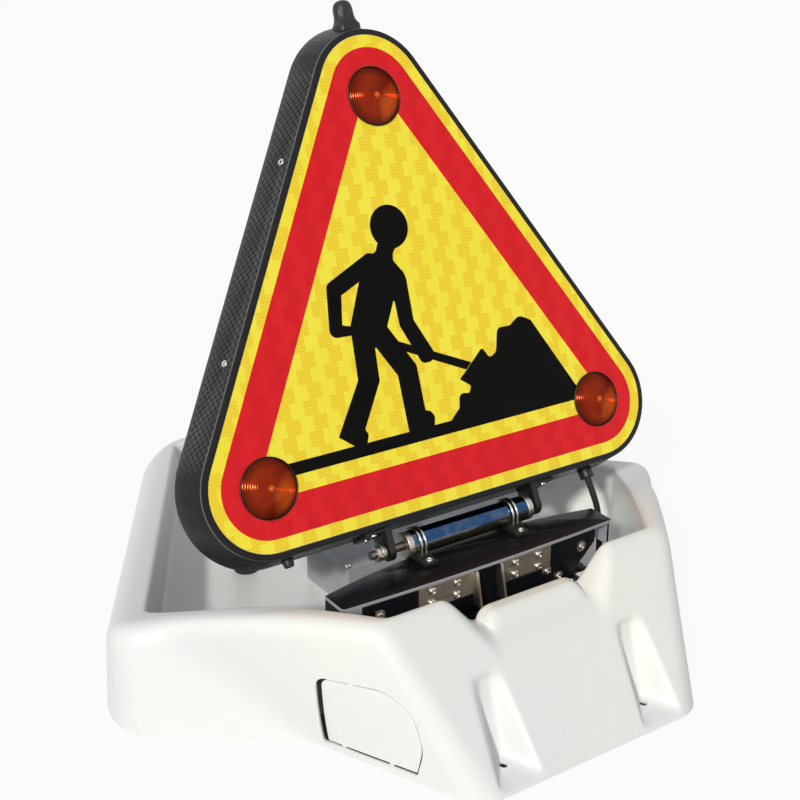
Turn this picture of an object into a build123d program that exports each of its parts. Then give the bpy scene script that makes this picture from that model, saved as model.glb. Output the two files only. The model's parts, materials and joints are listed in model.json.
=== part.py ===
"""Road-works triangle with three lamps on a tilting drive in a roof cowl.

Millimetres, +X right, -Y towards the front of the cowl, +Z up. The origin is on the ground plane, under the
middle of the cowl. The sign is drawn raised and leaning back, as it stands in use.
"""

import os
from math import cos, radians, sin, sqrt, tan

from build123d import *

# Sign: rounded triangles that share their corner centres
lean = 21.23
core_apothem = 133.5
sheet_apothem = 202.0
border = 6.0
frame_depth = 41.0
frame_flare = 13.5
frame_wall = 6.0
ledge_width = 4.0
ledge_thick = 3.0
sheet_thick = 2.6
film_thick = 0.3
film_margin = 0.4
red_outer_apothem = 187.6
red_inner_apothem = 145.3
cover_thick = 3.0
cover_margin = 0.5
cover_screw_apothem = 207.5
cover_screw_pitch = 120.0
cover_boss_radius = 6.5
cover_boss_length = 18.0
cover_screw_length = 14.0
side_screw_along = 116.5
side_screw_depth = 14.0
side_screw_length = 8.0
flasher_size = (80.0, 50.0)
flasher_thick = 18.0
flasher_corner = 4.0
flasher_drop = 40.0

# Small fasteners
screw_radius = 2.0
screw_head_radius = 4.0
screw_head_height = 2.2
bolt_radius = 4.0
bolt_head_radius = 6.5
bolt_head_height = 4.0

# Lamps, one in each corner
lamp_inset = 1.5
lamp_names = {"top": 90, "left": 210, "right": 330}
bezel_radius = 34.0
bezel_height = 4.0
lens_radius = 31.5
lens_seat = 2.2
lens_lip = 1.1
lens_crown = 6.4
cup_radius = 29.0
cup_wall = 2.2
cup_flange_radius = 33.0
cup_flange_thick = 2.0
cup_depth = 18.0
board_depth = 8.0
board_thick = 1.6
led_radius = 2.5
led_height = 5.0
led_ring_radius = 14.0
led_count = 6

# Pictogram, in the plane of the sheet
ground_top = -112.75
ground_bottom = -126.6
ground_end_inset = 24.0
head_centre = (-15.5, 118.2)
head_radius = 25.0

# Hinge axis, which is also the axis of the drive tube
hinge_y = -181.5
hinge_z = 160.0
axis_behind_face = 16.4
axis_below_centre = 238.2
fold_angle = 73.0
shaft_radius = 5.0
running_gap = 0.05
lug_thick = 8.0
lug_boss_radius = 12.0
lug_foot_start = 7.0
lug_foot_end = 41.0
lug_flange_width = 26.0
lug_flange_thick = 4.0
left_lug_x = -98.0
right_lug_x = 112.0
lug_screw_depths = (14.0, 34.0)
lug_screw_length = 9.0

# Drive tube
tube_radius = 15.0
tube_wall = 1.6
tube_left = -74.0
tube_right = 106.0
cap_length = 8.0
cap_plug_length = 12.0
motor_left = -46.0
motor_right = 70.0
motor_bore_slack = 2.0
shaft_left = -118.0
shaft_right = -30.0
idler_left = 90.0
idler_head_radius = 8.0
idler_head_thick = 4.0
collar_left = -112.0
collar_length = 12.0
collar_radius = 9.0
cross_pin_radius = 2.0
pin_overhang = 1.5
clip_wire_radius = 0.9

# Tube saddles and wire clamps
saddle_places = {"left": -56.0, "right": 76.0}
saddle_width = 18.0
saddle_rear = 19.5
saddle_front = 33.0
saddle_foot_height = 4.5
saddle_rear_foot = 9.0
saddle_rear_lift = 5.0
saddle_top = 7.0
clamp_wire_radius = 1.5
clamp_wire_offset = 3.0
clamp_foot_lift = 2.0
saddle_screw_reach = 27.0

# Deck beam: plate with folded ends, apron, foot and gussets in one welded piece
deck_top = 143.5
deck_thick = 4.0
deck_half = 191.0
deck_front = -245.5
deck_front_end = -240.5
deck_rear = -180.5
deck_rear_end = -204.0
deck_corner = 4.0
deck_end_drop = 30.0
deck_end_thick = 3.0
apron_y = -237.0
apron_thick = 3.0
apron_half = 165.0
apron_foot_half = 137.0
apron_shoulder = 122.0
apron_neck = 94.0
foot_width = 28.0
foot_thick = 3.0
gusset_places = (-120.0, -30.0, 30.0, 120.0)
gusset_depth = 40.0
gusset_height = 44.0
gusset_thick = 4.0
apron_screws = ((144.0, 121.0), (91.0, 104.0), (110.0, 91.0))
beam_bolt_places = (45.0, 118.0)

# Angle brackets on the apron
bracket_inner = 16.0
bracket_outer = 94.0
bracket_bottom = 110.0
bracket_thick = 3.0
bracket_flange_top = 5.0
bracket_flange_foot = 15.0
bracket_flange_bottom = 97.0
bracket_gap = 0.5
bracket_screw_columns = (42.0, 76.0)
bracket_screw_rows = (116.0, 131.0)

# Cowl: corners on the ground, and where the walls have leaned to at rim height
rim_height = 140.0
loft_height = 180.0
ground_front = (153.0, -439.5)
ground_waist = (245.9, -226.5)
ground_lobe = (431.6, -130.5)
ground_nose = (0.0, 664.1)
rim_front = (192.0, -341.5)
rim_waist = (345.0, -146.0)
rim_lobe = (396.0, -84.0)
rim_nose = (0.0, 616.1)
ground_radii = (44.0, 60.0, 92.0, 205.0)
rim_radii = (34.0, 120.0, 34.0, 175.0)
skin = 4.0
nose_rim_height = 80.0
nose_y = 439.5
lobe_rim_height = 110.0
lobe_rim_y = -70.0
flank_rim_height = 156.0
flank_rim_y = -211.0
peak_height = 168.0
peak_y = -312.0
rim_bends = (80.0, 120.0, 20.0)
notch_height = 131.0
notch_x = 80.0
notch_rise = 2.0
bump_height = 140.0
bump_x = 68.0
bump_shoulder = 6.0
dip_slope = 1.1
dip_overshoot = 6.0
dip_bends = (14.0, 14.0, 3.0, 5.0)
front_rim_depth = 64.0

# Tray inside the cowl: a deep part and a raised bay at the front
tray_floor = 20.0
bay_floor = 82.0
bay_rear = -236.0
tray_nose = (88.0, 393.0)
tray_lobe = (345.0, -76.0)
tray_front = (180.0, -308.0)
tray_radii = (10.0, 22.0, 16.0)

# Fixing pockets in the front face
pocket_x = 99.0
pocket_shelf = 10.0
pocket_top = 97.0
pocket_back = -394.0
pocket_half = 29.0
pocket_round = 24.0
pocket_mouth = 30.0
mount_hole_radius = 4.5
mount_hole_y = -404.0

# Arched panels in the flanks, over the passage for the roof bar
arch_origin = (168.0, -400.0)
arch_bearing = 60.0
arch_outline = ((34, 9), (27, 42), (40, 78), (72, 98), (146, 97), (146, 9))
arch_radii = (4, 40, 36, 40, 10, 4)
arch_reach = 20.0
panel_gap = 1.8
nib_width = 5.0
panel_nibs = ((66, 9, 1), (125, 9, 1), (112, 97.5, -1))

# Control box in the tray
box_length = 150.0
box_width = 100.0
box_height = 50.0
box_y = -10.0
box_wall = 2.5
box_corner = 6.0
lid_thick = 3.0
box_boss_radius = 5.2
box_screw_inset = 7.0
box_screw_length = 14.0
control_board_size = (110.0, 70.0)
control_board_gap = 6.0
control_board_thick = 1.6
board_post_inset = 10.0
board_post_radius = 3.0

# Rest posts, and the catch for the peg
post_x = 130.0
post_y = 100.0
post_foot_radius = 16.0
post_top_radius = 11.0
pad_radius = 14.0
pad_height = 8.0
pad_edge = 2.0
rest_gap = 0.5
peg_seat = 346.0
peg_flare = 16.0
peg_end = 382.0
peg_foot_radius = 12.8
peg_radius = 11.2
peg_round = 8.0
peg_behind_face = 28.0
catch_y = 414.0
catch_length = 15.0
catch_base_top = 90.8
catch_arm_top = 106.0
catch_slot_half = 14.0
catch_half = 19.0

# Lamp cable from the frame to the control box
cable_radius = 4.0
cable_x = 213.0
cable_depth = 30.0
cable_lead = 6.0
cable_drop = (220.0, -190.0, 118.0)
cable_run_x = 222.0
cable_turn_y = -40.0
cable_rise_x = 130.0
cable_entry_x = 106.0
cable_bends = (14.0, 40.0, 20.0, 40.0, 12.0, 14.0)
gland_radius = 9.0
gland_length = 12.0
clip_length = 12.0
clip_half = 9.0
clip_height = 11.0
clip_places = (-140.0, -100.0)
plug_radius = 7.0
plug_height = 8.0
plug_taper = 12.0

# Longer than anything it cuts through
clear_cut = 600.0

lamp_reach = 2 * core_apothem - lamp_inset
ground_half = lamp_reach * cos(radians(30)) - ground_end_inset
front_apothem = sheet_apothem + border
back_apothem = front_apothem + frame_flare
film_back = 2 * film_thick
sheet_back = film_back + sheet_thick
ledge_back = sheet_back + ledge_thick
sign_back = frame_depth + cover_thick
drive_axis = (hinge_y, hinge_z)

out_dir = Vector(0, -cos(radians(lean)), sin(radians(lean)))
up_dir = Vector(0, sin(radians(lean)), cos(radians(lean)))
hinge_point = Vector(0, hinge_y, hinge_z)
sign_origin = hinge_point + out_dir * axis_behind_face + up_dir * axis_below_centre
sign_plane = Plane(origin=sign_origin, x_dir=(1, 0, 0), z_dir=out_dir)

# Underside of the frame: x along the edge, -y from the front edge to the back, z away from the frame
flare_run = sqrt(frame_depth**2 + frame_flare**2)
flare_cos = frame_depth / flare_run
flare_sin = frame_flare / flare_run
edge_plane = Plane(
    origin=sign_plane.from_local_coords((0, -front_apothem, 0)),
    x_dir=(1, 0, 0),
    z_dir=out_dir * flare_sin - up_dir * flare_cos,
)

os.makedirs("parts", exist_ok=True)


def write(builder, name):
    builder.part.label = name
    export_step(builder.part, f"parts/{name}.step")


def rounded_triangle(apothem):
    reach = 2 * apothem
    corners = [(reach * cos(radians(a)), reach * sin(radians(a))) for a in (90, 210, 330)]
    with BuildLine() as outline:
        FilletPolyline(*corners, radius=apothem - core_apothem, close=True)
    make_face(outline.edges())


def polygon(*points):
    with BuildLine() as outline:
        Polyline(*points, close=True)
    make_face(outline.edges())


def lamp_spot(angle):
    return (lamp_reach * cos(radians(angle)), lamp_reach * sin(radians(angle)))


def edge_point(depth, height):
    """A point of the frame's underside section, as y and z of the cowl."""
    point = edge_plane.from_local_coords((0, -depth, height))
    return (point.Y, point.Z)


def side_plane(angle, along, depth):
    """A plane on a flared side of the frame, its z pointing out of the frame."""
    apothem = front_apothem + frame_flare * depth / frame_depth
    c, s = cos(radians(angle)), sin(radians(angle))
    origin = sign_plane.from_local_coords((apothem * c - along * s, apothem * s + along * c, -depth))
    outward = sign_plane.x_dir * c + up_dir * s
    sideways = up_dir * c - sign_plane.x_dir * s
    return Plane(origin=origin, x_dir=sideways, z_dir=outward * flare_cos + out_dir * flare_sin)


def cowl_outline(height, inset=0.0):
    """Outline of the cowl at a height, its corners sliding from the ground to the rim."""
    share = height / rim_height
    right = []
    for low, high in (
        (ground_front, rim_front),
        (ground_waist, rim_waist),
        (ground_lobe, rim_lobe),
        (ground_nose, rim_nose),
    ):
        right.append(tuple(a + (b - a) * share for a, b in zip(low, high)))
    radii = [a + (b - a) * share for a, b in zip(ground_radii, rim_radii)]
    left = [(-x, y) for x, y in reversed(right[:-1])]
    with BuildLine() as outline:
        FilletPolyline(*right, *left, radius=radii + radii[-2::-1], close=True)
    make_face(outline.edges())
    if inset:
        offset(amount=-inset, mode=Mode.REPLACE)


def tray_outline(grow=0.0):
    right = [tray_nose, tray_lobe, tray_front]
    left = [(-x, y) for x, y in reversed(right)]
    with BuildLine() as outline:
        FilletPolyline(*right, *left, radius=tray_radii + tray_radii[::-1], close=True)
    make_face(outline.edges())
    if grow:
        offset(amount=grow, mode=Mode.REPLACE)


def rim_z(y):
    """Height of the rim behind the lobes, falling to the nose."""
    fall = (lobe_rim_height - nose_rim_height) / (nose_y - lobe_rim_y)
    return nose_rim_height + fall * (nose_y - y)


def space_above_rim(drop):
    """Side view of the space over the rim, lowered for the underside of the skin."""
    rim = [
        (2 * nose_y, rim_z(2 * nose_y) - drop),
        (lobe_rim_y, lobe_rim_height - drop),
        (flank_rim_y, flank_rim_height - drop),
        (peak_y, peak_height - drop),
        (-2 * nose_y, peak_height - drop),
    ]
    with BuildLine() as outline:
        FilletPolyline(*rim, radius=rim_bends)
        Polyline(rim[-1], (-2 * nose_y, clear_cut), (2 * nose_y, clear_cut), rim[0])
    make_face(outline.edges())


def front_dip(drop):
    """Front view of the space over the front edge: a flat middle between two dips and two peaks."""
    run = (peak_height - notch_height) * dip_slope
    right = [
        (bump_x - bump_shoulder, bump_height - drop),
        (bump_x, notch_height + notch_rise - drop),
        (notch_x, notch_height - drop),
        (notch_x + run, peak_height - drop),
        (notch_x + 2 * run, peak_height + dip_overshoot - drop),
    ]
    left = [(-x, z) for x, z in reversed(right)]
    with BuildLine() as outline:
        FilletPolyline(*left, *right, radius=dip_bends + dip_bends[::-1])
        Polyline(right[-1], (right[-1][0], clear_cut), (left[0][0], clear_cut), left[0])
    make_face(outline.edges())


def pocket_section(height, grow=0.0):
    """U-shaped plan of a fixing pocket; its back runs out of the sloping front face at its top."""
    slide = (rim_front[1] - ground_front[1]) / rim_height
    face_top = ground_front[1] + slide * pocket_top
    share = (height - pocket_shelf) / (pocket_top - pocket_shelf)
    back = pocket_back + (face_top - pocket_back) * share + grow
    front = ground_front[1] - pocket_mouth
    half = pocket_half + grow
    with BuildLine() as outline:
        FilletPolyline(
            (pocket_x - half, front),
            (pocket_x + half, front),
            (pocket_x + half, back),
            (pocket_x - half, back),
            radius=(0, 0, pocket_round + grow, pocket_round + grow),
            close=True,
        )
    make_face(outline.edges())


def pan_screws(planes, length, head=screw_head_radius, tall=screw_head_height, shank=screw_radius):
    for plane in planes:
        with BuildSketch(plane) as head_disc:
            Circle(head)
        extrude(head_disc.sketch, amount=tall)
        with BuildSketch(plane) as shank_disc:
            Circle(shank)
        extrude(shank_disc.sketch, amount=-length)


def bores(planes, length, radius=screw_radius):
    for plane in planes:
        with BuildSketch(plane) as disc:
            Circle(radius)
        extrude(disc.sketch, amount=-length, mode=Mode.SUBTRACT)


def drive_round(left, right, radius, mode=Mode.ADD):
    """A cylinder on the hinge axis."""
    with BuildSketch(Plane.YZ.offset(left)) as disc:
        with Locations(drive_axis):
            Circle(radius)
    extrude(disc.sketch, amount=right - left, mode=mode)


# Places of the fasteners
cover_planes = []
for angle in (30, 150, 270):
    for along in (-cover_screw_pitch, 0, cover_screw_pitch):
        c, s = cos(radians(angle)), sin(radians(angle))
        spot = (cover_screw_apothem * c - along * s, cover_screw_apothem * s + along * c, -sign_back)
        cover_planes.append(Plane(origin=sign_plane.from_local_coords(spot), x_dir=(1, 0, 0), z_dir=-out_dir))
side_planes = [
    side_plane(angle, along, side_screw_depth)
    for angle in (30, 150)
    for along in (-side_screw_along, side_screw_along)
]
lug_planes = []
for outer in (left_lug_x - lug_flange_width / 2, right_lug_x + lug_thick + lug_flange_width / 2):
    for depth in lug_screw_depths:
        origin = edge_plane.from_local_coords((outer, -depth, lug_flange_thick))
        lug_planes.append(Plane(origin=origin, x_dir=(1, 0, 0), z_dir=edge_plane.z_dir))

cable_plane = Plane(
    origin=edge_plane.from_local_coords((cable_x, -cable_depth, 0)), x_dir=(1, 0, 0), z_dir=edge_plane.z_dir
)
plug_plane = Plane(
    origin=edge_plane.from_local_coords((-cable_x, -cable_depth, 0)), x_dir=(1, 0, 0), z_dir=edge_plane.z_dir
)

# Frame of the sign
with BuildPart() as frame_blank:
    with BuildSketch(sign_plane):
        rounded_triangle(front_apothem)
    with BuildSketch(sign_plane.offset(-frame_depth)):
        rounded_triangle(back_apothem)
    loft(ruled=True)

with BuildPart() as rim_frame:
    add(frame_blank.part)
    with BuildSketch(sign_plane.offset(-ledge_back)):
        rounded_triangle(sheet_apothem)
    with BuildSketch(sign_plane.offset(-frame_depth)):
        rounded_triangle(back_apothem - frame_wall)
    loft(ruled=True, mode=Mode.SUBTRACT)
    with BuildSketch(sign_plane):
        rounded_triangle(sheet_apothem - ledge_width)
    extrude(amount=-ledge_back, mode=Mode.SUBTRACT)
    with BuildSketch(sign_plane):
        rounded_triangle(sheet_apothem)
    extrude(amount=-sheet_back, mode=Mode.SUBTRACT)
    for plane in cover_planes:
        with BuildSketch(plane.offset(-cover_thick)):
            Circle(cover_boss_radius)
        extrude(amount=-cover_boss_length)
    bores(cover_planes, cover_screw_length)
    bores(side_planes, side_screw_length)
    bores(lug_planes, lug_screw_length)
    bores([cable_plane, plug_plane], 2 * frame_wall, cable_radius)
write(rim_frame, "rim_frame")

with BuildPart() as face_sheet:
    with BuildSketch(sign_plane.offset(-film_back)):
        rounded_triangle(sheet_apothem)
        with PolarLocations(lamp_reach, 3, start_angle=90):
            Circle(cup_radius - cup_wall, mode=Mode.SUBTRACT)
    extrude(amount=-sheet_thick)
write(face_sheet, "face_sheet")

with BuildPart() as yellow_film:
    with BuildSketch(sign_plane.offset(-film_thick)):
        rounded_triangle(sheet_apothem - film_margin)
        with PolarLocations(lamp_reach, 3, start_angle=90):
            Circle(bezel_radius, mode=Mode.SUBTRACT)
    extrude(amount=-film_thick)
write(yellow_film, "yellow_film")

with BuildPart() as red_band_film:
    with BuildSketch(sign_plane):
        rounded_triangle(red_outer_apothem)
        with BuildSketch(mode=Mode.PRIVATE) as red_inside:
            rounded_triangle(red_inner_apothem)
        add(red_inside.sketch, mode=Mode.SUBTRACT)
        with PolarLocations(lamp_reach, 3, start_angle=90):
            Circle(bezel_radius, mode=Mode.SUBTRACT)
    extrude(amount=-film_thick)
write(red_band_film, "red_band_film")

# Worker with a shovel, spoil heap and ground line
with BuildPart() as pictogram_film:
    with BuildSketch(sign_plane):
        with Locations(head_centre):
            Circle(head_radius)
        with BuildLine():
            FilletPolyline(
                (-34, 104), (-41, 91), (-51, 93.5), (-111, 67), (-120, 8), (-92.5, 7), (-96, -43),
                (-134.5, -99), (-116, ground_top - 1), (-101, ground_top - 1), (-97, -104), (-100, -97.5),
                (-69, -49), (-66, -9.5), (-44, -48), (-44.5, ground_top - 1), (-9.5, ground_top - 1),
                (-6.5, -103), (-10.5, -96), (-17.5, -93.5), (-17, -41), (-45, 8.5), (-28.5, 38),
                (-28.2, 6), (-8.5, -41), (5, -41), (10, -31), (-8.7, 10), (-7, 62), (-19.5, 80),
                (-18, 88), (-13, 94),
                radius=(
                    4, 6, 9, 9, 9, 1, 4, 1, 1, 3, 4, 2, 4, 1, 4, 1,
                    1, 5, 5, 1, 5, 1, 1, 4, 7, 6, 3, 5, 22, 4, 6, 1,
                ),
                close=True,
            )
        make_face()
        with BuildSketch(mode=Mode.PRIVATE) as arm_gap:
            polygon((-95, 52.5), (-69, 63.5), (-91.5, 17.2), (-101.5, 20))
        add(arm_gap.sketch, mode=Mode.SUBTRACT)
        polygon((-104, 21.5), (-101, 11), (49, -59.5), (58, -52.5))
        with BuildLine():
            FilletPolyline(
                (58, -53.2), (77, -38.5), (85, -53), (96, -47), (104, -20), (123, -20.5), (139, -11),
                (155, -19.5), (ground_half, ground_top - 1), (13, ground_top - 1), (29, -101), (33, -84),
                (47, -87), (51, -79), (37.5, -68.8), (49.5, -60),
                radius=(1, 3, 5, 7, 8, 5, 11, 7, 1, 1, 4, 7, 3, 2, 1, 1),
                close=True,
            )
        make_face()
        with Locations((0, (ground_top + ground_bottom) / 2)):
            Rectangle(2 * ground_half, ground_top - ground_bottom)
        with PolarLocations(lamp_reach, 3, start_angle=90):
            Circle(bezel_radius, mode=Mode.SUBTRACT)
    extrude(amount=-film_thick)
write(pictogram_film, "pictogram_film")

with BuildPart() as back_cover:
    with BuildSketch(sign_plane.offset(-frame_depth)):
        rounded_triangle(back_apothem - cover_margin)
    extrude(amount=-cover_thick)
    bores(cover_planes, cover_thick)
write(back_cover, "back_cover")

with BuildPart() as back_cover_screws:
    pan_screws(cover_planes, cover_screw_length)
write(back_cover_screws, "back_cover_screws")

with BuildPart() as side_screws:
    pan_screws(side_planes, side_screw_length)
write(side_screws, "side_screws")

with BuildPart() as flasher_unit:
    with BuildSketch(sign_plane.offset(-frame_depth)):
        with Locations((0, -flasher_drop)):
            RectangleRounded(*flasher_size, flasher_corner)
    extrude(amount=flasher_thick)
write(flasher_unit, "flasher_unit")

# Lamps: cup behind the sheet, board with LEDs, lens and bezel in front
for name, angle in lamp_names.items():
    spot = lamp_spot(angle)
    cup_back = sheet_back + cup_flange_thick + cup_depth
    board_front = sheet_back + board_depth

    with BuildPart() as lamp_bezel:
        with BuildSketch(sign_plane.offset(-film_back)):
            with Locations(spot):
                Circle(bezel_radius)
                Circle(lens_radius, mode=Mode.SUBTRACT)
        extrude(amount=bezel_height)
        with BuildSketch(sign_plane.offset(lens_seat - film_back)):
            with Locations(spot):
                Circle(bezel_radius)
                Circle(lens_radius - lens_lip, mode=Mode.SUBTRACT)
        extrude(amount=bezel_height - lens_seat)
    write(lamp_bezel, f"lamp_bezel_{name}")

    with BuildPart() as lamp_lens:
        dome = lens_radius - lens_lip
        crown = lens_seat - film_back + lens_crown
        ball = (dome**2 + lens_crown**2) / (2 * lens_crown)
        with BuildSketch(sign_plane.offset(-film_back)):
            with Locations(spot):
                Circle(lens_radius)
        extrude(amount=crown + film_back)
        ball_centre = sign_plane.from_local_coords((*spot, crown - ball))
        with Locations(Plane(origin=ball_centre, x_dir=(1, 0, 0), z_dir=out_dir)):
            Sphere(ball, mode=Mode.INTERSECT)
    write(lamp_lens, f"lamp_lens_{name}")

    with BuildPart() as lamp_cup:
        with BuildSketch(sign_plane.offset(-sheet_back)):
            with Locations(spot):
                Circle(cup_flange_radius)
        extrude(amount=-cup_flange_thick)
        with BuildSketch(sign_plane.offset(-sheet_back)):
            with Locations(spot):
                Circle(cup_radius)
        extrude(amount=sheet_back - cup_back)
        with BuildSketch(sign_plane.offset(-sheet_back)):
            with Locations(spot):
                Circle(cup_radius - cup_wall)
        extrude(amount=sheet_back - cup_back + cup_wall, mode=Mode.SUBTRACT)
    write(lamp_cup, f"lamp_cup_{name}")

    with BuildPart() as led_board:
        with BuildSketch(sign_plane.offset(-board_front)):
            with Locations(spot):
                Circle(cup_radius - cup_wall)
        extrude(amount=-board_thick)
    write(led_board, f"led_board_{name}")

with BuildPart() as lamp_leds:
    for angle in lamp_names.values():
        with BuildSketch(sign_plane.offset(-board_front)):
            with Locations(lamp_spot(angle)):
                Circle(led_radius)
                with PolarLocations(led_ring_radius, led_count):
                    Circle(led_radius)
        extrude(amount=led_height)
write(lamp_leds, "lamp_leds")

with BuildPart() as latch_peg:
    peg_plane = Plane(
        origin=sign_plane.from_local_coords((0, peg_seat, -peg_behind_face)), x_dir=(1, 0, 0), z_dir=up_dir
    )
    with BuildSketch(peg_plane):
        Circle(peg_foot_radius)
    with BuildSketch(peg_plane.offset(peg_flare)):
        Circle(peg_radius)
    loft()
    with BuildSketch(peg_plane.offset(peg_flare)):
        Circle(peg_radius)
    extrude(amount=peg_end - peg_seat - peg_flare)
    fillet(latch_peg.edges().sort_by(Axis((0, 0, 0), up_dir))[-1], peg_round)
    add(frame_blank.part, mode=Mode.SUBTRACT)
write(latch_peg, "latch_peg")

# Hinge lugs under the frame
hinge_local = edge_plane.to_local_coords(hinge_point)
for name, lug_x, outward in (("left", left_lug_x, -1), ("right", right_lug_x, 1)):
    with BuildPart() as hinge_lug:
        with BuildSketch(Plane.YZ.offset(lug_x)):
            polygon(
                edge_point(lug_foot_start, 0),
                edge_point(lug_foot_end, 0),
                edge_point(lug_boss_radius - hinge_local.Y, hinge_local.Z),
                edge_point(-lug_boss_radius - hinge_local.Y, hinge_local.Z),
            )
            with Locations(drive_axis):
                Circle(lug_boss_radius)
                Circle(shaft_radius, mode=Mode.SUBTRACT)
        extrude(amount=lug_thick)
        with BuildSketch(edge_plane):
            middle = lug_x + lug_thick / 2 + outward * (lug_thick + lug_flange_width) / 2
            with Locations((middle, -(lug_foot_start + lug_foot_end) / 2)):
                Rectangle(lug_flange_width, lug_foot_end - lug_foot_start)
        extrude(amount=lug_flange_thick)
        bores(lug_planes, lug_flange_thick)
    write(hinge_lug, f"hinge_lug_{name}")

with BuildPart() as lug_screws:
    pan_screws(lug_planes, lug_screw_length)
write(lug_screws, "lug_screws")

# Shaft side of the drive, which turns with the sign
with BuildPart() as output_shaft:
    drive_round(shaft_left, shaft_right, shaft_radius)
    with BuildSketch(Plane.XZ.offset(-hinge_y)):
        with Locations((collar_left + collar_length / 2, hinge_z)):
            Circle(cross_pin_radius)
    extrude(amount=2 * collar_radius, both=True, mode=Mode.SUBTRACT)
write(output_shaft, "output_shaft")

with BuildPart() as shaft_collar:
    drive_round(collar_left, collar_left + collar_length, collar_radius)
    drive_round(collar_left, collar_left + collar_length, shaft_radius, Mode.SUBTRACT)
    with BuildSketch(Plane.XZ.offset(-hinge_y)):
        with Locations((collar_left + collar_length / 2, hinge_z)):
            Circle(cross_pin_radius)
    extrude(amount=2 * collar_radius, both=True, mode=Mode.SUBTRACT)
write(shaft_collar, "shaft_collar")

with BuildPart() as cross_pin:
    with BuildSketch(Plane.XZ.offset(-hinge_y)):
        with Locations((collar_left + collar_length / 2, hinge_z)):
            Circle(cross_pin_radius)
    extrude(amount=collar_radius + pin_overhang, both=True)
write(cross_pin, "cross_pin")

with BuildPart() as wire_clip:
    pin_corner = sqrt((collar_radius + pin_overhang) ** 2 + cross_pin_radius**2)
    clip_reach = pin_corner + clip_wire_radius
    with BuildLine(Plane.YZ.offset(collar_left + collar_length / 2)) as clip_path:
        CenterArc(drive_axis, clip_reach, 0, 180)
    with BuildSketch(Plane(origin=clip_path.line @ 0, z_dir=clip_path.line % 0)):
        Circle(clip_wire_radius)
    sweep()
write(wire_clip, "wire_clip")

with BuildPart() as idler_pin:
    idler_head = right_lug_x + lug_thick
    drive_round(idler_left, idler_head, shaft_radius)
    drive_round(idler_head, idler_head + idler_head_thick, idler_head_radius)
write(idler_pin, "idler_pin")

# Fixed side of the drive
with BuildPart() as drive_tube:
    drive_round(tube_left + cap_length, tube_right - cap_length, tube_radius)
    drive_round(tube_left + cap_length, tube_right - cap_length, tube_radius - tube_wall, Mode.SUBTRACT)
write(drive_tube, "drive_tube")

for name, outer, inward in (("left", tube_left, 1), ("right", tube_right, -1)):
    with BuildPart() as end_cap:
        face = outer + inward * cap_length
        plug = face + inward * cap_plug_length
        drive_round(min(outer, face), max(outer, face), tube_radius)
        drive_round(min(face, plug), max(face, plug), tube_radius - tube_wall)
        drive_round(min(outer, plug), max(outer, plug), shaft_radius + running_gap, Mode.SUBTRACT)
    write(end_cap, f"drive_cap_{name}")

with BuildPart() as gear_motor:
    drive_round(motor_left, motor_right, tube_radius - tube_wall)
    drive_round(motor_left, shaft_right + motor_bore_slack, shaft_radius + running_gap, Mode.SUBTRACT)
write(gear_motor, "gear_motor")

wire_reach = tube_radius + clamp_wire_radius
wire_foot = hinge_z - tube_radius + clamp_foot_lift
saddle_screw_planes = []
for name, x in saddle_places.items():
    saddle_screw_planes.append(
        Plane(origin=(x, hinge_y - saddle_screw_reach, deck_top + saddle_foot_height), z_dir=(0, 0, 1))
    )
    with BuildPart() as tube_saddle:
        with BuildSketch(Plane.YZ.offset(x - saddle_width / 2)):
            polygon(
                (hinge_y - saddle_front, deck_top),
                (hinge_y + saddle_rear_foot, deck_top),
                (hinge_y + saddle_rear, deck_top + saddle_rear_lift),
                (hinge_y + saddle_rear, hinge_z - saddle_top),
                (hinge_y - saddle_rear, hinge_z - saddle_top),
                (hinge_y - saddle_rear, deck_top + saddle_foot_height),
                (hinge_y - saddle_front, deck_top + saddle_foot_height),
            )
            with Locations(drive_axis):
                Circle(tube_radius, mode=Mode.SUBTRACT)
        extrude(amount=saddle_width)
        with BuildSketch(Plane.XY.offset(wire_foot)):
            for side in (-1, 1):
                with Locations((x - clamp_wire_offset, hinge_y + side * wire_reach)):
                    Circle(clamp_wire_radius)
                with Locations((x + clamp_wire_offset, hinge_y + side * wire_reach)):
                    Circle(clamp_wire_radius)
        extrude(amount=tube_radius, mode=Mode.SUBTRACT)
        bores(saddle_screw_planes, saddle_foot_height)
    write(tube_saddle, f"tube_saddle_{name}")

with BuildPart() as clamp_wires:
    for x in saddle_places.values():
        for wire_x in (x - clamp_wire_offset, x + clamp_wire_offset):
            with BuildLine(Plane.YZ.offset(wire_x)) as wire_path:
                Line((hinge_y + wire_reach, wire_foot), (hinge_y + wire_reach, hinge_z))
                CenterArc(drive_axis, wire_reach, 0, 180)
                Line((hinge_y - wire_reach, hinge_z), (hinge_y - wire_reach, wire_foot))
            with BuildSketch(Plane(origin=wire_path.line @ 0, z_dir=wire_path.line % 0)):
                Circle(clamp_wire_radius)
            sweep(path=wire_path.line)
write(clamp_wires, "clamp_wires")

with BuildPart() as saddle_screws:
    pan_screws(saddle_screw_planes, saddle_foot_height + deck_thick)
write(saddle_screws, "saddle_screws")

# Deck beam and what is bolted to it
apron_front = apron_y - apron_thick
bracket_front = apron_front - bracket_thick
apron_screw_planes = [
    Plane(origin=(side * x, apron_front, z), z_dir=(0, -1, 0)) for side in (-1, 1) for x, z in apron_screws
]
bracket_screw_planes = {}
for name, side in (("left", -1), ("right", 1)):
    bracket_screw_planes[name] = [
        Plane(origin=(side * x, bracket_front, z), z_dir=(0, -1, 0))
        for x in bracket_screw_columns
        for z in bracket_screw_rows
    ]
all_bracket_screws = bracket_screw_planes["left"] + bracket_screw_planes["right"]
beam_bolt_planes = [
    Plane(origin=(side * x, apron_front - foot_width / 2, bay_floor + foot_thick), z_dir=(0, 0, 1))
    for side in (-1, 1)
    for x in beam_bolt_places
]

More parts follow.
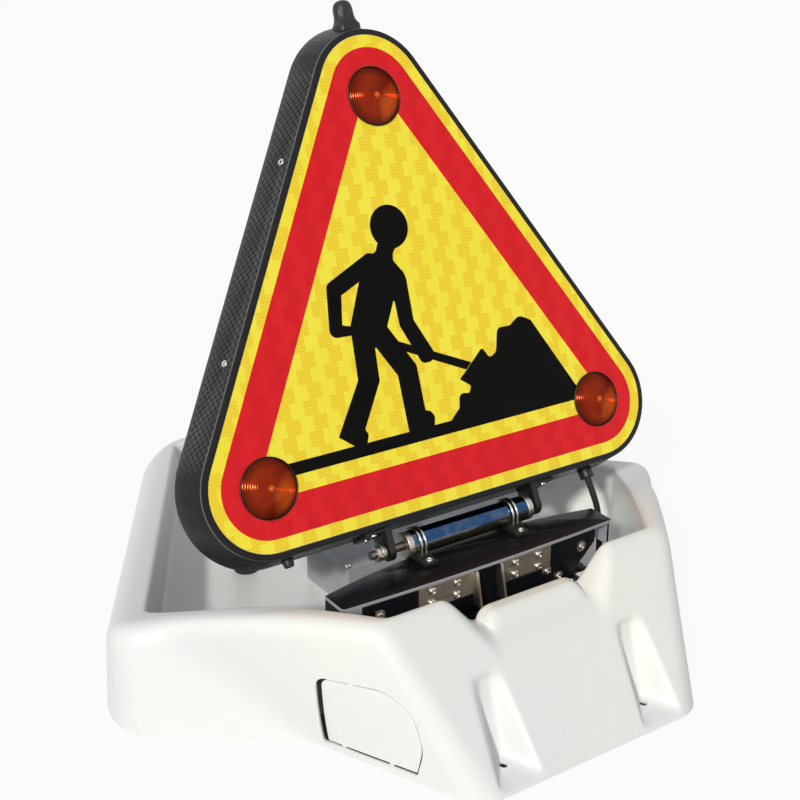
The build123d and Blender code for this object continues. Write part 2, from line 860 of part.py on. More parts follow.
with BuildPart() as deck_beam:
    with BuildSketch(Plane.XY.offset(deck_top - deck_thick)) as deck_plan:
        with BuildLine():
            ThreePointArc((-deck_half, deck_rear_end), (0, deck_rear), (deck_half, deck_rear_end))
            Line((deck_half, deck_rear_end), (deck_half, deck_front_end))
            ThreePointArc((deck_half, deck_front_end), (0, deck_front), (-deck_half, deck_front_end))
            Line((-deck_half, deck_front_end), (-deck_half, deck_rear_end))
        make_face()
        fillet(deck_plan.vertices().group_by(Axis.Y)[0], deck_corner)
    extrude(amount=deck_thick)
    with BuildSketch(Plane.XY.offset(deck_top - deck_thick)):
        end_length = deck_rear_end - deck_front_end - deck_corner
        for side in (-1, 1):
            with Locations((side * (deck_half - deck_end_thick / 2), deck_rear_end - end_length / 2)):
                Rectangle(deck_end_thick, end_length)
    extrude(amount=-deck_end_drop)
    with BuildSketch(Plane.XZ.offset(-apron_y)):
        polygon(
            (-apron_half, deck_top - deck_thick),
            (-apron_half, apron_shoulder),
            (-apron_foot_half, apron_neck),
            (-apron_foot_half, bay_floor),
            (apron_foot_half, bay_floor),
            (apron_foot_half, apron_neck),
            (apron_half, apron_shoulder),
            (apron_half, deck_top - deck_thick),
        )
    extrude(amount=apron_thick)
    with BuildSketch(Plane.XY.offset(bay_floor)):
        with Locations((0, apron_front - foot_width / 2)):
            Rectangle(2 * apron_foot_half, foot_width)
    extrude(amount=foot_thick)
    for x in gusset_places:
        with BuildSketch(Plane.YZ.offset(x - gusset_thick / 2)):
            polygon(
                (apron_y, deck_top - deck_thick),
                (apron_y + gusset_depth, deck_top - deck_thick),
                (apron_y, deck_top - deck_thick - gusset_height),
            )
        extrude(amount=gusset_thick)
    bores(apron_screw_planes, apron_thick)
    bores(all_bracket_screws, bracket_thick + apron_thick)
    bores(saddle_screw_planes, saddle_foot_height + deck_thick)
    bores(beam_bolt_planes, foot_thick, bolt_radius)
write(deck_beam, "deck_beam")

with BuildPart() as apron_screw_set:
    pan_screws(apron_screw_planes, apron_thick)
write(apron_screw_set, "apron_screws")

for name, side in (("left", -1), ("right", 1)):
    with BuildPart() as angle_bracket:
        top = deck_top - deck_thick - bracket_gap
        with BuildSketch(Plane.XZ.offset(-apron_front)):
            with Locations((side * (bracket_inner + bracket_outer) / 2, (bracket_bottom + top) / 2)):
                Rectangle(bracket_outer - bracket_inner, top - bracket_bottom)
        extrude(amount=bracket_thick)
        with BuildSketch(Plane.YZ.offset(side * bracket_inner)):
            polygon(
                (bracket_front, top),
                (bracket_front - bracket_flange_top, top),
                (bracket_front - bracket_flange_foot, bracket_flange_bottom),
                (bracket_front, bracket_flange_bottom),
            )
        extrude(amount=side * bracket_thick)
        bores(bracket_screw_planes[name], bracket_thick)
    write(angle_bracket, f"angle_bracket_{name}")

with BuildPart() as bracket_screws:
    pan_screws(all_bracket_screws, bracket_thick + apron_thick)
write(bracket_screws, "bracket_screws")

with BuildPart() as beam_bolts:
    pan_screws(beam_bolt_planes, foot_thick + skin, bolt_head_radius, bolt_head_height, bolt_radius)
write(beam_bolts, "beam_bolts")

# Cowl: outer moulding, tray sunk into it, and the hollow left between the two
with BuildPart() as cowl_hollow:
    with BuildSketch():
        cowl_outline(0, skin)
    with BuildSketch(Plane.XY.offset(loft_height)):
        cowl_outline(loft_height, skin)
    loft(ruled=True)
    with BuildSketch(Plane.YZ):
        space_above_rim(skin)
    extrude(amount=clear_cut, both=True, mode=Mode.SUBTRACT)
    with BuildSketch(Plane.XZ.offset(-tray_front[1])):
        front_dip(skin)
    extrude(amount=front_rim_depth, both=True, mode=Mode.SUBTRACT)
    with BuildSketch(Plane.XY.offset(bay_floor - skin)):
        tray_outline(skin)
    extrude(amount=loft_height, mode=Mode.SUBTRACT)
    with BuildSketch(Plane.XY.offset(tray_floor - skin)):
        tray_outline(skin)
        with Locations((0, bay_rear - skin)):
            Rectangle(2 * clear_cut, clear_cut, align=(Align.CENTER, Align.MAX), mode=Mode.SUBTRACT)
    extrude(amount=loft_height, mode=Mode.SUBTRACT)
    with BuildSketch():
        pocket_section(0, 2 * skin)
    with BuildSketch(Plane.XY.offset(pocket_top + 2 * skin)):
        pocket_section(pocket_top + 2 * skin, 2 * skin)
    pocket_block = loft(ruled=True, mode=Mode.PRIVATE)
    add(pocket_block, mode=Mode.SUBTRACT)
    add(pocket_block.mirror(Plane.YZ), mode=Mode.SUBTRACT)

with BuildPart() as cowl_whole:
    with BuildSketch():
        cowl_outline(0)
    with BuildSketch(Plane.XY.offset(loft_height)):
        cowl_outline(loft_height)
    loft(ruled=True)
    with BuildSketch(Plane.YZ):
        space_above_rim(0)
    extrude(amount=clear_cut, both=True, mode=Mode.SUBTRACT)
    with BuildSketch(Plane.XZ.offset(-tray_front[1])):
        front_dip(0)
    extrude(amount=front_rim_depth, both=True, mode=Mode.SUBTRACT)
    with BuildSketch(Plane.XY.offset(bay_floor)):
        tray_outline()
    extrude(amount=loft_height, mode=Mode.SUBTRACT)
    with BuildSketch(Plane.XY.offset(tray_floor)):
        tray_outline()
        with Locations((0, bay_rear)):
            Rectangle(2 * clear_cut, clear_cut, align=(Align.CENTER, Align.MAX), mode=Mode.SUBTRACT)
    extrude(amount=loft_height, mode=Mode.SUBTRACT)
    add(cowl_hollow.part, mode=Mode.SUBTRACT)
    with BuildSketch(Plane.XY.offset(pocket_shelf)):
        pocket_section(pocket_shelf)
    with BuildSketch(Plane.XY.offset(pocket_top + skin)):
        pocket_section(pocket_top + skin)
    pocket_space = loft(ruled=True, mode=Mode.PRIVATE)
    add(pocket_space, mode=Mode.SUBTRACT)
    add(pocket_space.mirror(Plane.YZ), mode=Mode.SUBTRACT)
    with BuildSketch():
        with Locations((-pocket_x, mount_hole_y), (pocket_x, mount_hole_y)):
            Circle(mount_hole_radius)
    extrude(amount=2 * pocket_shelf, mode=Mode.SUBTRACT)
    bores(beam_bolt_planes, foot_thick + skin, bolt_radius)

bearing = radians(arch_bearing)
arch_plane = Plane(
    origin=(*arch_origin, 0), x_dir=(cos(bearing), sin(bearing), 0), z_dir=(sin(bearing), -cos(bearing), 0)
)

with BuildPart() as arch_space:
    with BuildSketch(arch_plane):
        with BuildLine():
            FilletPolyline(*arch_outline, radius=arch_radii, close=True)
        make_face()
    extrude(amount=arch_reach, both=True)

with BuildPart() as arch_panel_right:
    with BuildSketch(arch_plane):
        with BuildLine():
            FilletPolyline(*arch_outline, radius=arch_radii, close=True)
        make_face()
        offset(amount=-panel_gap, mode=Mode.REPLACE)
        for s, z, inward in panel_nibs:
            with Locations((s, z + inward * panel_gap)):
                Rectangle(nib_width, 2 * panel_gap)
    extrude(amount=arch_reach, both=True)
    add(cowl_whole.part, mode=Mode.INTERSECT)
write(arch_panel_right, "arch_panel_right")

with BuildPart() as arch_panel_left:
    add(arch_panel_right.part.mirror(Plane.YZ))
write(arch_panel_left, "arch_panel_left")

with BuildPart() as cowl_shell:
    add(cowl_whole.part)
    add(arch_space.part, mode=Mode.SUBTRACT)
    add(arch_space.part.mirror(Plane.YZ), mode=Mode.SUBTRACT)
write(cowl_shell, "cowl_shell")

# Control box on the floor of the tray
box_top = tray_floor + box_height
box_right = box_length / 2
box_screw_planes = [
    Plane(
        origin=(
            sx * (box_right - box_screw_inset),
            box_y + sy * (box_width / 2 - box_screw_inset),
            box_top + lid_thick,
        ),
        z_dir=(0, 0, 1),
    )
    for sx in (-1, 1)
    for sy in (-1, 1)
]
gland_z = tray_floor + box_height / 2

with BuildPart() as control_box:
    with BuildSketch(Plane.XY.offset(tray_floor)):
        with Locations((0, box_y)):
            RectangleRounded(box_length, box_width, box_corner)
    extrude(amount=box_height)
    with BuildSketch(Plane.XY.offset(tray_floor + box_wall)):
        with Locations((0, box_y)):
            RectangleRounded(box_length - 2 * box_wall, box_width - 2 * box_wall, box_corner - box_wall)
    extrude(amount=box_height, mode=Mode.SUBTRACT)
    for plane in box_screw_planes:
        with BuildSketch(plane.offset(-lid_thick)):
            Circle(box_boss_radius)
        extrude(amount=-box_height + box_wall)
    bores(box_screw_planes, box_screw_length)
    with BuildSketch(Plane.YZ.offset(box_right - 2 * box_wall)):
        with Locations((box_y, gland_z)):
            Circle(cable_radius)
    extrude(amount=4 * box_wall, mode=Mode.SUBTRACT)
write(control_box, "control_box")

with BuildPart() as control_box_lid:
    with BuildSketch(Plane.XY.offset(box_top)):
        with Locations((0, box_y)):
            RectangleRounded(box_length, box_width, box_corner)
    extrude(amount=lid_thick)
    bores(box_screw_planes, lid_thick)
write(control_box_lid, "control_box_lid")

with BuildPart() as control_box_screws:
    pan_screws(box_screw_planes, box_screw_length)
write(control_box_screws, "control_box_screws")

with BuildPart() as control_board:
    with BuildSketch(Plane.XY.offset(tray_floor + box_wall)):
        with Locations((0, box_y)):
            post_grid = [length - 2 * board_post_inset for length in control_board_size]
            with GridLocations(*post_grid, 2, 2):
                Circle(board_post_radius)
    extrude(amount=control_board_gap)
    with BuildSketch(Plane.XY.offset(tray_floor + box_wall + control_board_gap)):
        with Locations((0, box_y)):
            Rectangle(*control_board_size)
    extrude(amount=control_board_thick)
write(control_board, "control_board")

# Lamp cable and its glands and clips
cable_z = tray_floor + cable_radius
cable_points = (
    cable_plane.from_local_coords((0, 0, -frame_wall)),
    cable_plane.from_local_coords((0, 0, gland_length + cable_lead)),
    cable_drop,
    (cable_run_x, cable_drop[1], cable_z),
    (cable_run_x, cable_turn_y, cable_z),
    (cable_rise_x, box_y, cable_z),
    (cable_entry_x, box_y, gland_z),
    (box_right - box_wall, box_y, gland_z),
)
with BuildPart() as lamp_cable:
    with BuildLine() as cable_path:
        FilletPolyline(*cable_points, radius=cable_bends)
    with BuildSketch(Plane(origin=cable_path.line @ 0, z_dir=cable_path.line % 0)):
        Circle(cable_radius)
    sweep(path=cable_path.line)
write(lamp_cable, "lamp_cable")

with BuildPart() as frame_gland:
    with BuildSketch(cable_plane):
        Circle(gland_radius)
        Circle(cable_radius, mode=Mode.SUBTRACT)
    extrude(amount=gland_length)
write(frame_gland, "frame_gland")

with BuildPart() as frame_plug:
    with BuildSketch(plug_plane):
        Circle(plug_radius)
    extrude(amount=plug_height, taper=plug_taper)
    with BuildSketch(plug_plane):
        Circle(cable_radius)
    extrude(amount=-frame_wall)
write(frame_plug, "frame_plug")

with BuildPart() as box_gland:
    with BuildSketch(Plane.YZ.offset(box_right)):
        with Locations((box_y, gland_z)):
            Circle(gland_radius)
            Circle(cable_radius, mode=Mode.SUBTRACT)
    extrude(amount=gland_length)
write(box_gland, "box_gland")

with BuildPart() as cable_clips:
    for y in clip_places:
        with BuildSketch(Plane.XZ.offset(-y)):
            with Locations((cable_run_x, tray_floor)):
                Rectangle(2 * clip_half, clip_height, align=(Align.CENTER, Align.MIN))
            with Locations((cable_run_x, cable_z)):
                Circle(cable_radius, mode=Mode.SUBTRACT)
                Rectangle(2 * cable_radius, clip_height, align=(Align.CENTER, Align.MAX), mode=Mode.SUBTRACT)
        extrude(amount=clip_length)
write(cable_clips, "cable_clips")

# Rest posts under the folded sign
fold_dip = radians(fold_angle + lean - 90)
back_below_axis = sign_back - axis_behind_face
rest_run = (post_y - hinge_y + back_below_axis * sin(fold_dip)) / cos(fold_dip)
rest_z = hinge_z - rest_run * sin(fold_dip) - back_below_axis * cos(fold_dip)
pad_top = rest_z - pad_radius * tan(fold_dip) - rest_gap
post_spots = ((-post_x, post_y), (post_x, post_y))
with BuildPart() as rest_posts:
    for spot in post_spots:
        with BuildSketch(Plane.XY.offset(tray_floor)):
            with Locations(spot):
                Circle(post_foot_radius)
        with BuildSketch(Plane.XY.offset(pad_top - pad_height)):
            with Locations(spot):
                Circle(post_top_radius)
        loft()
write(rest_posts, "rest_posts")

with BuildPart() as rest_pads:
    with BuildSketch(Plane.XY.offset(pad_top - pad_height)):
        with Locations(*post_spots):
            Circle(pad_radius)
    extrude(amount=pad_height)
    fillet(rest_pads.edges().group_by(Axis.Z)[-1], pad_edge)
write(rest_pads, "rest_pads")

# Catch on the nose of the cowl, open upwards for the peg
with BuildPart() as peg_catch:
    with BuildSketch(Plane.YZ):
        polygon(
            (catch_y, rim_z(catch_y)),
            (catch_y + catch_length, rim_z(catch_y + catch_length)),
            (catch_y + catch_length, catch_arm_top),
            (catch_y, catch_arm_top),
        )
    extrude(amount=catch_half, both=True)
    with BuildSketch(Plane.XY.offset(catch_base_top)):
        with Locations((0, catch_y + catch_length / 2)):
            Rectangle(2 * catch_slot_half, 2 * catch_length)
    extrude(amount=catch_arm_top, mode=Mode.SUBTRACT)
write(peg_catch, "peg_catch")
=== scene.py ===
import json
import math

import bmesh
import bpy
from mathutils import Matrix, Vector

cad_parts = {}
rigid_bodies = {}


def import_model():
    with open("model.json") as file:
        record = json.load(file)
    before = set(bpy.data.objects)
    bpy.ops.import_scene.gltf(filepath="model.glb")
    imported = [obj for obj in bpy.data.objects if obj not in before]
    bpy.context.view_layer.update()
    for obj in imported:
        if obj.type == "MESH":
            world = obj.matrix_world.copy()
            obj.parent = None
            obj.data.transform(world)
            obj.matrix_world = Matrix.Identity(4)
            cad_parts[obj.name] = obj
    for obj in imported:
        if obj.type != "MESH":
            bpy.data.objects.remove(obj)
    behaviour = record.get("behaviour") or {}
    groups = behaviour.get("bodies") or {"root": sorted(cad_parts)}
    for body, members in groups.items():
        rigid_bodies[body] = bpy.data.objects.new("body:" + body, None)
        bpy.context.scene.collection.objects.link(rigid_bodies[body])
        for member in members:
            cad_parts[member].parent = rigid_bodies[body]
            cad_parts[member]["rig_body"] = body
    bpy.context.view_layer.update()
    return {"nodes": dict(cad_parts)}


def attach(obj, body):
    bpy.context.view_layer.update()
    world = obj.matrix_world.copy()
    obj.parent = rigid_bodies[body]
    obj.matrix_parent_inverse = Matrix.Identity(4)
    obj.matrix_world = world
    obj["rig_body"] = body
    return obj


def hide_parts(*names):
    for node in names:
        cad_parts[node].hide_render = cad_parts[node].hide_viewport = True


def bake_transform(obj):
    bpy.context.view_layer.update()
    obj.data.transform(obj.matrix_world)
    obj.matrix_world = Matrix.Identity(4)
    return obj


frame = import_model()
nodes = frame["nodes"]
scene = bpy.context.scene
mm = 0.001
print("frame loaded:", len(nodes), "nodes")

# the sign's own directions, as the solids have them
sign = {
    "lean": 21.23,
    "origin": (0.0, -110.532, 387.973),
    "coreApothem": 133.5,
    "lampReach": 265.5,
    "lampAngles": {"top": 90, "left": 210, "right": 330},
}
leanSin = math.sin(math.radians(sign["lean"]))
leanCos = math.cos(math.radians(sign["lean"]))
signOut = Vector((0, -leanCos, leanSin))
signUp = Vector((0, leanSin, leanCos))
signPlace = Matrix.Translation(Vector(sign["origin"]) * mm) @ Matrix((
    (1, 0, 0, 0),
    (0, signUp.y, signOut.y, 0),
    (0, signUp.z, signOut.z, 0),
    (0, 0, 0, 1),
))
drive = {"y": -181.5, "z": 160.0}  # the axis that the sign turns on


def tone(red, green, blue):
    # a colour as seen on screen, 0 to 255, to the values a socket takes
    parts = [c / 255 for c in (red, green, blue)]
    return tuple(c / 12.92 if c < 0.04 else ((c + 0.055) / 1.055) ** 2.4 for c in parts) + (1.0,)


class Wire:
    # one socket that can stand in sums
    def __init__(self, paint, socket):
        self.paint = paint
        self.socket = socket

    def maths(self, operation, *others):
        return self.paint.add("ShaderNodeMath", {"operation": operation}, dict(enumerate((self,) + others)))

    def __add__(self, other):
        return self.maths("ADD", other)

    def __sub__(self, other):
        return self.maths("SUBTRACT", other)

    def __rsub__(self, other):
        return self.paint.add("ShaderNodeMath", {"operation": "SUBTRACT"}, {0: other, 1: self})

    def __mul__(self, other):
        return self.maths("MULTIPLY", other)

    def __truediv__(self, other):
        return self.maths("DIVIDE", other)

    def __mod__(self, other):
        return self.maths("FLOORED_MODULO", other)

    def __lt__(self, other):
        return self.maths("LESS_THAN", other)

    def __gt__(self, other):
        return self.maths("GREATER_THAN", other)

    def __abs__(self):
        return self.maths("ABSOLUTE")

    __radd__ = __add__
    __rmul__ = __mul__


class Paint:
    def __init__(self, block, shader, fixed):
        self.block = block
        self.block.use_nodes = True
        self.tree = self.block.node_tree
        self.shader = self.tree.nodes[shader]
        for key, value in fixed.items():
            self.shader.inputs[key].default_value = value

    def add(self, kind, settings=None, inputs=None, output=0):
        node = self.tree.nodes.new(kind)
        for key, value in (settings or {}).items():
            setattr(node, key, value)
        for key, value in (inputs or {}).items():
            if isinstance(value, Wire):
                self.tree.links.new(value.socket, node.inputs[key])
            else:
                node.inputs[key].default_value = value
        return Wire(self, node.outputs[output])

    def feed(self, name, wire):
        self.tree.links.new(wire.socket, self.shader.inputs[name])

    def spot(self):
        return self.add("ShaderNodeTexCoord", output="Object")

    def axes(self, wire):
        split = self.add("ShaderNodeSeparateXYZ", inputs={0: wire})
        return [Wire(self, socket) for socket in split.socket.node.outputs]

    def noise(self, scale, detail=3.0, roughness=0.55, stretch=None):
        where = self.spot()
        if stretch:
            where = self.add("ShaderNodeMapping", inputs={"Vector": where, "Scale": stretch})
        return self.add("ShaderNodeTexNoise", inputs={
            "Vector": where, "Scale": scale, "Detail": detail, "Roughness": roughness})

    def ramp(self, wire, low, high):
        return self.add("ShaderNodeMapRange", {"clamp": True}, {
            "Value": wire, "From Min": low, "From Max": high, "To Min": 0.0, "To Max": 1.0})

    def mix(self, share, first, second):
        return self.add("ShaderNodeMix", {"data_type": "RGBA"}, {0: share, 6: first, 7: second}, output=2)

    def bump(self, height, strength, distance):
        self.feed("Normal", self.add("ShaderNodeBump", inputs={
            "Strength": strength, "Distance": distance, "Height": height}))

    def plainlySeen(self):
        # 1 for what the camera sees straight, in a mirror or through glass
        straight = self.add("ShaderNodeLightPath", output="Is Camera Ray")
        mirrored = self.add("ShaderNodeLightPath", output="Is Glossy Ray")
        through = self.add("ShaderNodeLightPath", output="Is Transmission Ray")
        return straight.maths("MAXIMUM", mirrored).maths("MAXIMUM", through)

    def signSpot(self):
        # across, up and out of the sign's face, in millimetres
        x, y, z = self.axes(self.spot())
        oy, oz = sign["origin"][1:]
        across = x * 1000
        up = y * (1000 * leanSin) + z * (1000 * leanCos) - (oy * leanSin + oz * leanCos)
        out = y * (-1000 * leanCos) + z * (1000 * leanSin) - (-oy * leanCos + oz * leanSin)
        return across, up, out


def newLook(name, fixed):
    return Paint(bpy.data.materials.new(name), "Principled BSDF", fixed)


def mouldedWhite():
    look = newLook("mouldedWhite", {"IOR": 1.5, "Coat Weight": 0.2, "Coat Roughness": 0.14})
    broad = look.noise(3.5, 4.0)
    fine = look.noise(420.0, 2.0)
    scuff = look.ramp(look.noise(26.0, 8.0, 0.72), 0.60, 0.78)
    tall = look.axes(look.spot())[2]
    # brownish patches towards the bottom
    lowBrownPatches = look.ramp(tall, 0.05, 0.0) * look.ramp(look.noise(14.0, 6.0, 0.65), 0.42, 0.75)
    colour = look.mix(look.ramp(broad, 0.35, 0.65), tone(235, 236, 238), tone(239, 238, 235))
    colour = look.mix(scuff * 0.08, colour, tone(200, 202, 206))
    look.feed("Base Color", look.mix(lowBrownPatches * 0.12, colour, tone(186, 178, 166)))
    look.feed("Roughness", 0.36 + scuff * 0.12 + fine * 0.04)
    look.bump(fine, 0.05, 0.0006)
    return look.block


def weaveBlack():
    # chequered film on the frame's sides, plain black on its corners and its front edge, with painted
    # highlights along the band's front and rear edges
    look = newLook("weaveBlack", {"IOR": 1.5, "Specular IOR Level": 0.25})
    across, up, out = look.signSpot()
    turns = [math.radians(a) for a in (30, 150, 270)]
    reach = [across * math.cos(a) + up * math.sin(a) for a in turns]
    along = [up * math.cos(a) - across * math.sin(a) for a in turns]
    best = reach[0].maths("MAXIMUM", reach[1]).maths("MAXIMUM", reach[2])
    run = None
    for near, slide in zip(reach, along):
        own = (best - near) < 0.01
        run = own * slide if run is None else run + own * slide
    side = sign["coreApothem"] * math.sqrt(3)
    flat = look.ramp(abs(run), side + 14, side - 10)
    band = look.ramp(out, -3.6, -4.4) * look.ramp(out, -38.6, -37.6)
    # painted highlights: a light line on the front bevel and a faint one on the band's rear edge
    line = look.ramp(abs(out + 3.4), 0.8, 0.4)
    paintedRearHighlight = look.ramp(abs(out + 39.2), 0.8, 0.4)
    pitch = 4.2
    first = (run / pitch % 2.0) < 1.0
    second = (out / pitch % 2.0) < 1.0
    check = abs(first - second)
    woven = check * flat * band
    fine = look.noise(900.0, 2.0)
    worn = look.ramp(look.noise(60.0, 6.0, 0.7), 0.45, 0.8)
    cell = look.mix(look.ramp(look.noise(35.0, 3.0), 0.35, 0.65), tone(44, 48, 47), tone(64, 69, 67))
    colour = look.mix(woven, tone(12, 13, 13), cell)
    colour = look.mix(worn * 0.12, colour, tone(40, 42, 40))
    # painted highlights mixed in along the band's rear and front edges
    colour = look.mix(paintedRearHighlight * flat * 0.6, colour, tone(104, 96, 86))
    look.feed("Base Color", look.mix(line * 0.8, colour, tone(128, 130, 126)))
    look.feed("Roughness", 0.40 - woven * 0.10 + worn * 0.10)
    look.bump(woven * 0.6 + fine * 0.25, 0.3, 0.0005)
    return look.block


def filmBlocks(look):
    # the film's staggered squares, 0 or 1, and the small cells inside them
    across, up = look.signSpot()[:2]
    square = 17.1
    row = (up / square).maths("FLOOR")
    shift = (row % 2.0) * (square / 2)
    blocks = ((across - shift - 2.0) % (2 * square)) < square
    pitch = 4.27
    line = (up / (pitch * 0.866)).maths("FLOOR")
    sideways = (across / pitch + (line % 2.0) * 0.5) % 1.0 - 0.5
    upward = up / (pitch * 0.866) % 1.0 - 0.5
    away = (sideways * sideways + upward * upward * 0.75).maths("SQRT")
    return blocks, look.ramp(away, 0.46, 0.28)


def safetyFilm(name, plainDark, plainLight, block, cell):
    look = newLook(name, {"IOR": 1.5, "Specular IOR Level": 0.2})
    blocks, dots = filmBlocks(look)
    broad = look.ramp(look.noise(9.0, 3.0), 0.35, 0.65)
    plain = look.mix(broad, plainDark, plainLight)
    marked = look.mix(dots, block, cell)
    look.feed("Base Color", look.mix(blocks, plain, marked))
    look.feed("Roughness", 0.38 + dots * blocks * 0.1)
    look.bump(dots * blocks, 0.06, 0.0003)
    return look.block


def blackFilm():
    look = newLook("blackFilm", {"Specular IOR Level": 0.06})
    broad = look.ramp(look.noise(18.0, 5.0), 0.4, 0.7)
    look.feed("Base Color", look.mix(broad, tone(6, 6, 6), tone(12, 11, 10)))
    look.feed("Roughness", 0.42 + broad * 0.1)
    return look.block


def amberLens():
    # deep amber with darker rings; painted shade darkens the edge, a painted reflection of the cup behind it
    # brightens one side, and a painted glow lights the centre
    look = newLook("amberLens", {"IOR": 1.49, "Specular Tint": tone(255, 176, 96), "Metallic": 0.6})
    across, up = look.signSpot()[:2]
    topmost = up > 100.0
    reach, side, down = sign["lampReach"], math.cos(math.radians(30)), 0.5
    right = across - across.maths("SIGN") * (1 - topmost) * (reach * side)
    rise = up - topmost * reach + (1 - topmost) * (reach * down)
    away = (right * right + rise * rise).maths("SQRT")
    broad = look.ramp(look.noise(60.0, 3.0), 0.3, 0.7)
    rings = look.ramp(abs(away % 2.5 - 1.25), 0.9, 0.2)
    # painted reflection of the cup on one side and a painted glow at the centre
    paintedCupReflection = look.ramp((right * 0.87 - rise * 0.5) / (away + 0.01), 0.45, 1.0) * look.ramp(away, 2.0, 16.0)
    hot = look.ramp(away, 4.5, 1.5)
    paintedGlow = (paintedCupReflection * look.ramp(away, 33.0, 26.0) * 0.62).maths("MAXIMUM", hot * 0.8) * (0.6 + 0.4 * rings)
    deep = look.mix(broad, tone(132, 30, 16), tone(156, 46, 22))
    deep = look.mix(rings * 0.35, deep, tone(96, 22, 12))
    # painted shade darkening the lens towards its edge
    deep = look.mix(look.ramp(away, 22.0, 33.0) * 0.8, deep, tone(58, 12, 8))
    look.feed("Base Color", look.mix(paintedGlow, deep, tone(246, 124, 44)))
    look.feed("Roughness", 0.14 + broad * 0.06)
    return look.block


def brightTube():
    # painted reflections: sky blue on the top, straw from the deck and cowl below
    look = newLook("brightTube", {"Metallic": 1.0})
    drawn = look.noise(260.0, 4.0, 0.6, (0.04, 1.0, 1.0))
    smear = look.ramp(look.noise(30.0, 5.0, 0.7), 0.45, 0.75)
    tall = look.axes(look.spot())[2] * 1000 - drive["z"]
    # painted reflection of the sky on the upper half, and of the deck and cowl on the lower half
    colour = look.mix(look.ramp(tall, -3.0, 5.0), tone(168, 158, 112), tone(44, 74, 112))
    look.feed("Base Color", look.mix(smear * 0.3, colour, tone(172, 174, 170)))
    look.feed("Roughness", 0.09 + drawn * 0.10 + smear * 0.06)
    return look.block


def turnedAlloy():
    look = newLook("turnedAlloy", {"Metallic": 1.0})
    y, z = look.axes(look.spot())[1:]
    off = (y - drive["y"] * mm).maths("POWER", 2.0) + (z - drive["z"] * mm).maths("POWER", 2.0)
    turned = look.add("ShaderNodeTexNoise", {"noise_dimensions": "1D"}, {
        "W": off.maths("SQRT"), "Scale": 2600.0, "Detail": 2.0})
    look.feed("Base Color", look.mix(turned, tone(176, 168, 158), tone(206, 200, 192)))
    look.feed("Roughness", 0.30 + turned * 0.16)
    return look.block


def brushedSteel():
    look = newLook("brushedSteel", {"Metallic": 1.0})
    drawn = look.noise(420.0, 4.0, 0.65, (0.05, 1.0, 1.0))
    stain = look.ramp(look.noise(45.0, 6.0, 0.7), 0.45, 0.75)
    look.feed("Base Color", look.mix(stain * 0.6, tone(196, 190, 178), tone(154, 146, 132)))
    look.feed("Roughness", 0.26 + drawn * 0.16 + stain * 0.08)
    look.bump(drawn, 0.05, 0.0003)
    return look.block


deckPaint = {"plateUnder": 139.4, "endInside": 186.0, "edgeFacing": 0.75, "endFacing": -0.6}


def deckBlack():
    # black paint; the plate's edges pale and part metallic, as bare metal with a painted highlight on them,
    # and the inside of its folded ends painted pale as painted light
    look = newLook("deckBlack", {"IOR": 1.5, "Specular IOR Level": 0.15})
    spot = look.axes(look.spot())
    across = spot[0] * 1000
    tall = spot[2] * 1000
    facing = look.axes(look.add("ShaderNodeNewGeometry", output="Normal"))
    # the plate's edges: bare metal and a painted highlight
    edge = (tall > deckPaint["plateUnder"]) * (abs(facing[2]) < deckPaint["edgeFacing"])
    # painted light on the inside faces of the folded ends
    inward = (facing[0] * across.maths("SIGN")) < deckPaint["endFacing"]
    ends = (abs(across) > deckPaint["endInside"]) * inward * (tall < deckPaint["plateUnder"])
    bareEdgesAndPaintedLight = edge.maths("MAXIMUM", ends)
    speck = look.ramp(look.noise(330.0, 2.0), 0.68, 0.74)
    broad = look.ramp(look.noise(16.0, 5.0), 0.4, 0.7)
    colour = look.mix(broad, tone(10, 12, 17), tone(17, 19, 25))
    colour = look.mix(speck * 0.25, colour, tone(92, 96, 104))
    # pale metal on the edges, bare metal with a painted highlight, and painted light inside the folded ends
    look.feed("Base Color", look.mix(bareEdgesAndPaintedLight, colour, tone(186, 192, 202)))
    look.feed("Metallic", bareEdgesAndPaintedLight * 0.4)
    look.feed("Roughness", 0.32 + broad * 0.08)
    return look.block


def satin(name, dark, light, rough):
    look = newLook(name, {"IOR": 1.5, "Specular IOR Level": 0.4})
    grain = look.noise(700.0, 2.0)
    worn = look.ramp(look.noise(40.0, 6.0, 0.7), 0.45, 0.8)
    look.feed("Base Color", look.mix(worn * 0.6 + grain * 0.2, dark, light))
    look.feed("Roughness", rough + worn * 0.12)
    look.bump(grain, 0.12, 0.0004)
    return look.block


def plainMetal(name, dark, light, rough):
    look = newLook(name, {"Metallic": 1.0})
    worn = look.ramp(look.noise(90.0, 5.0, 0.7), 0.35, 0.75)
    look.feed("Base Color", look.mix(worn, light, dark))
    look.feed("Roughness", rough + worn * 0.15)
    return look.block


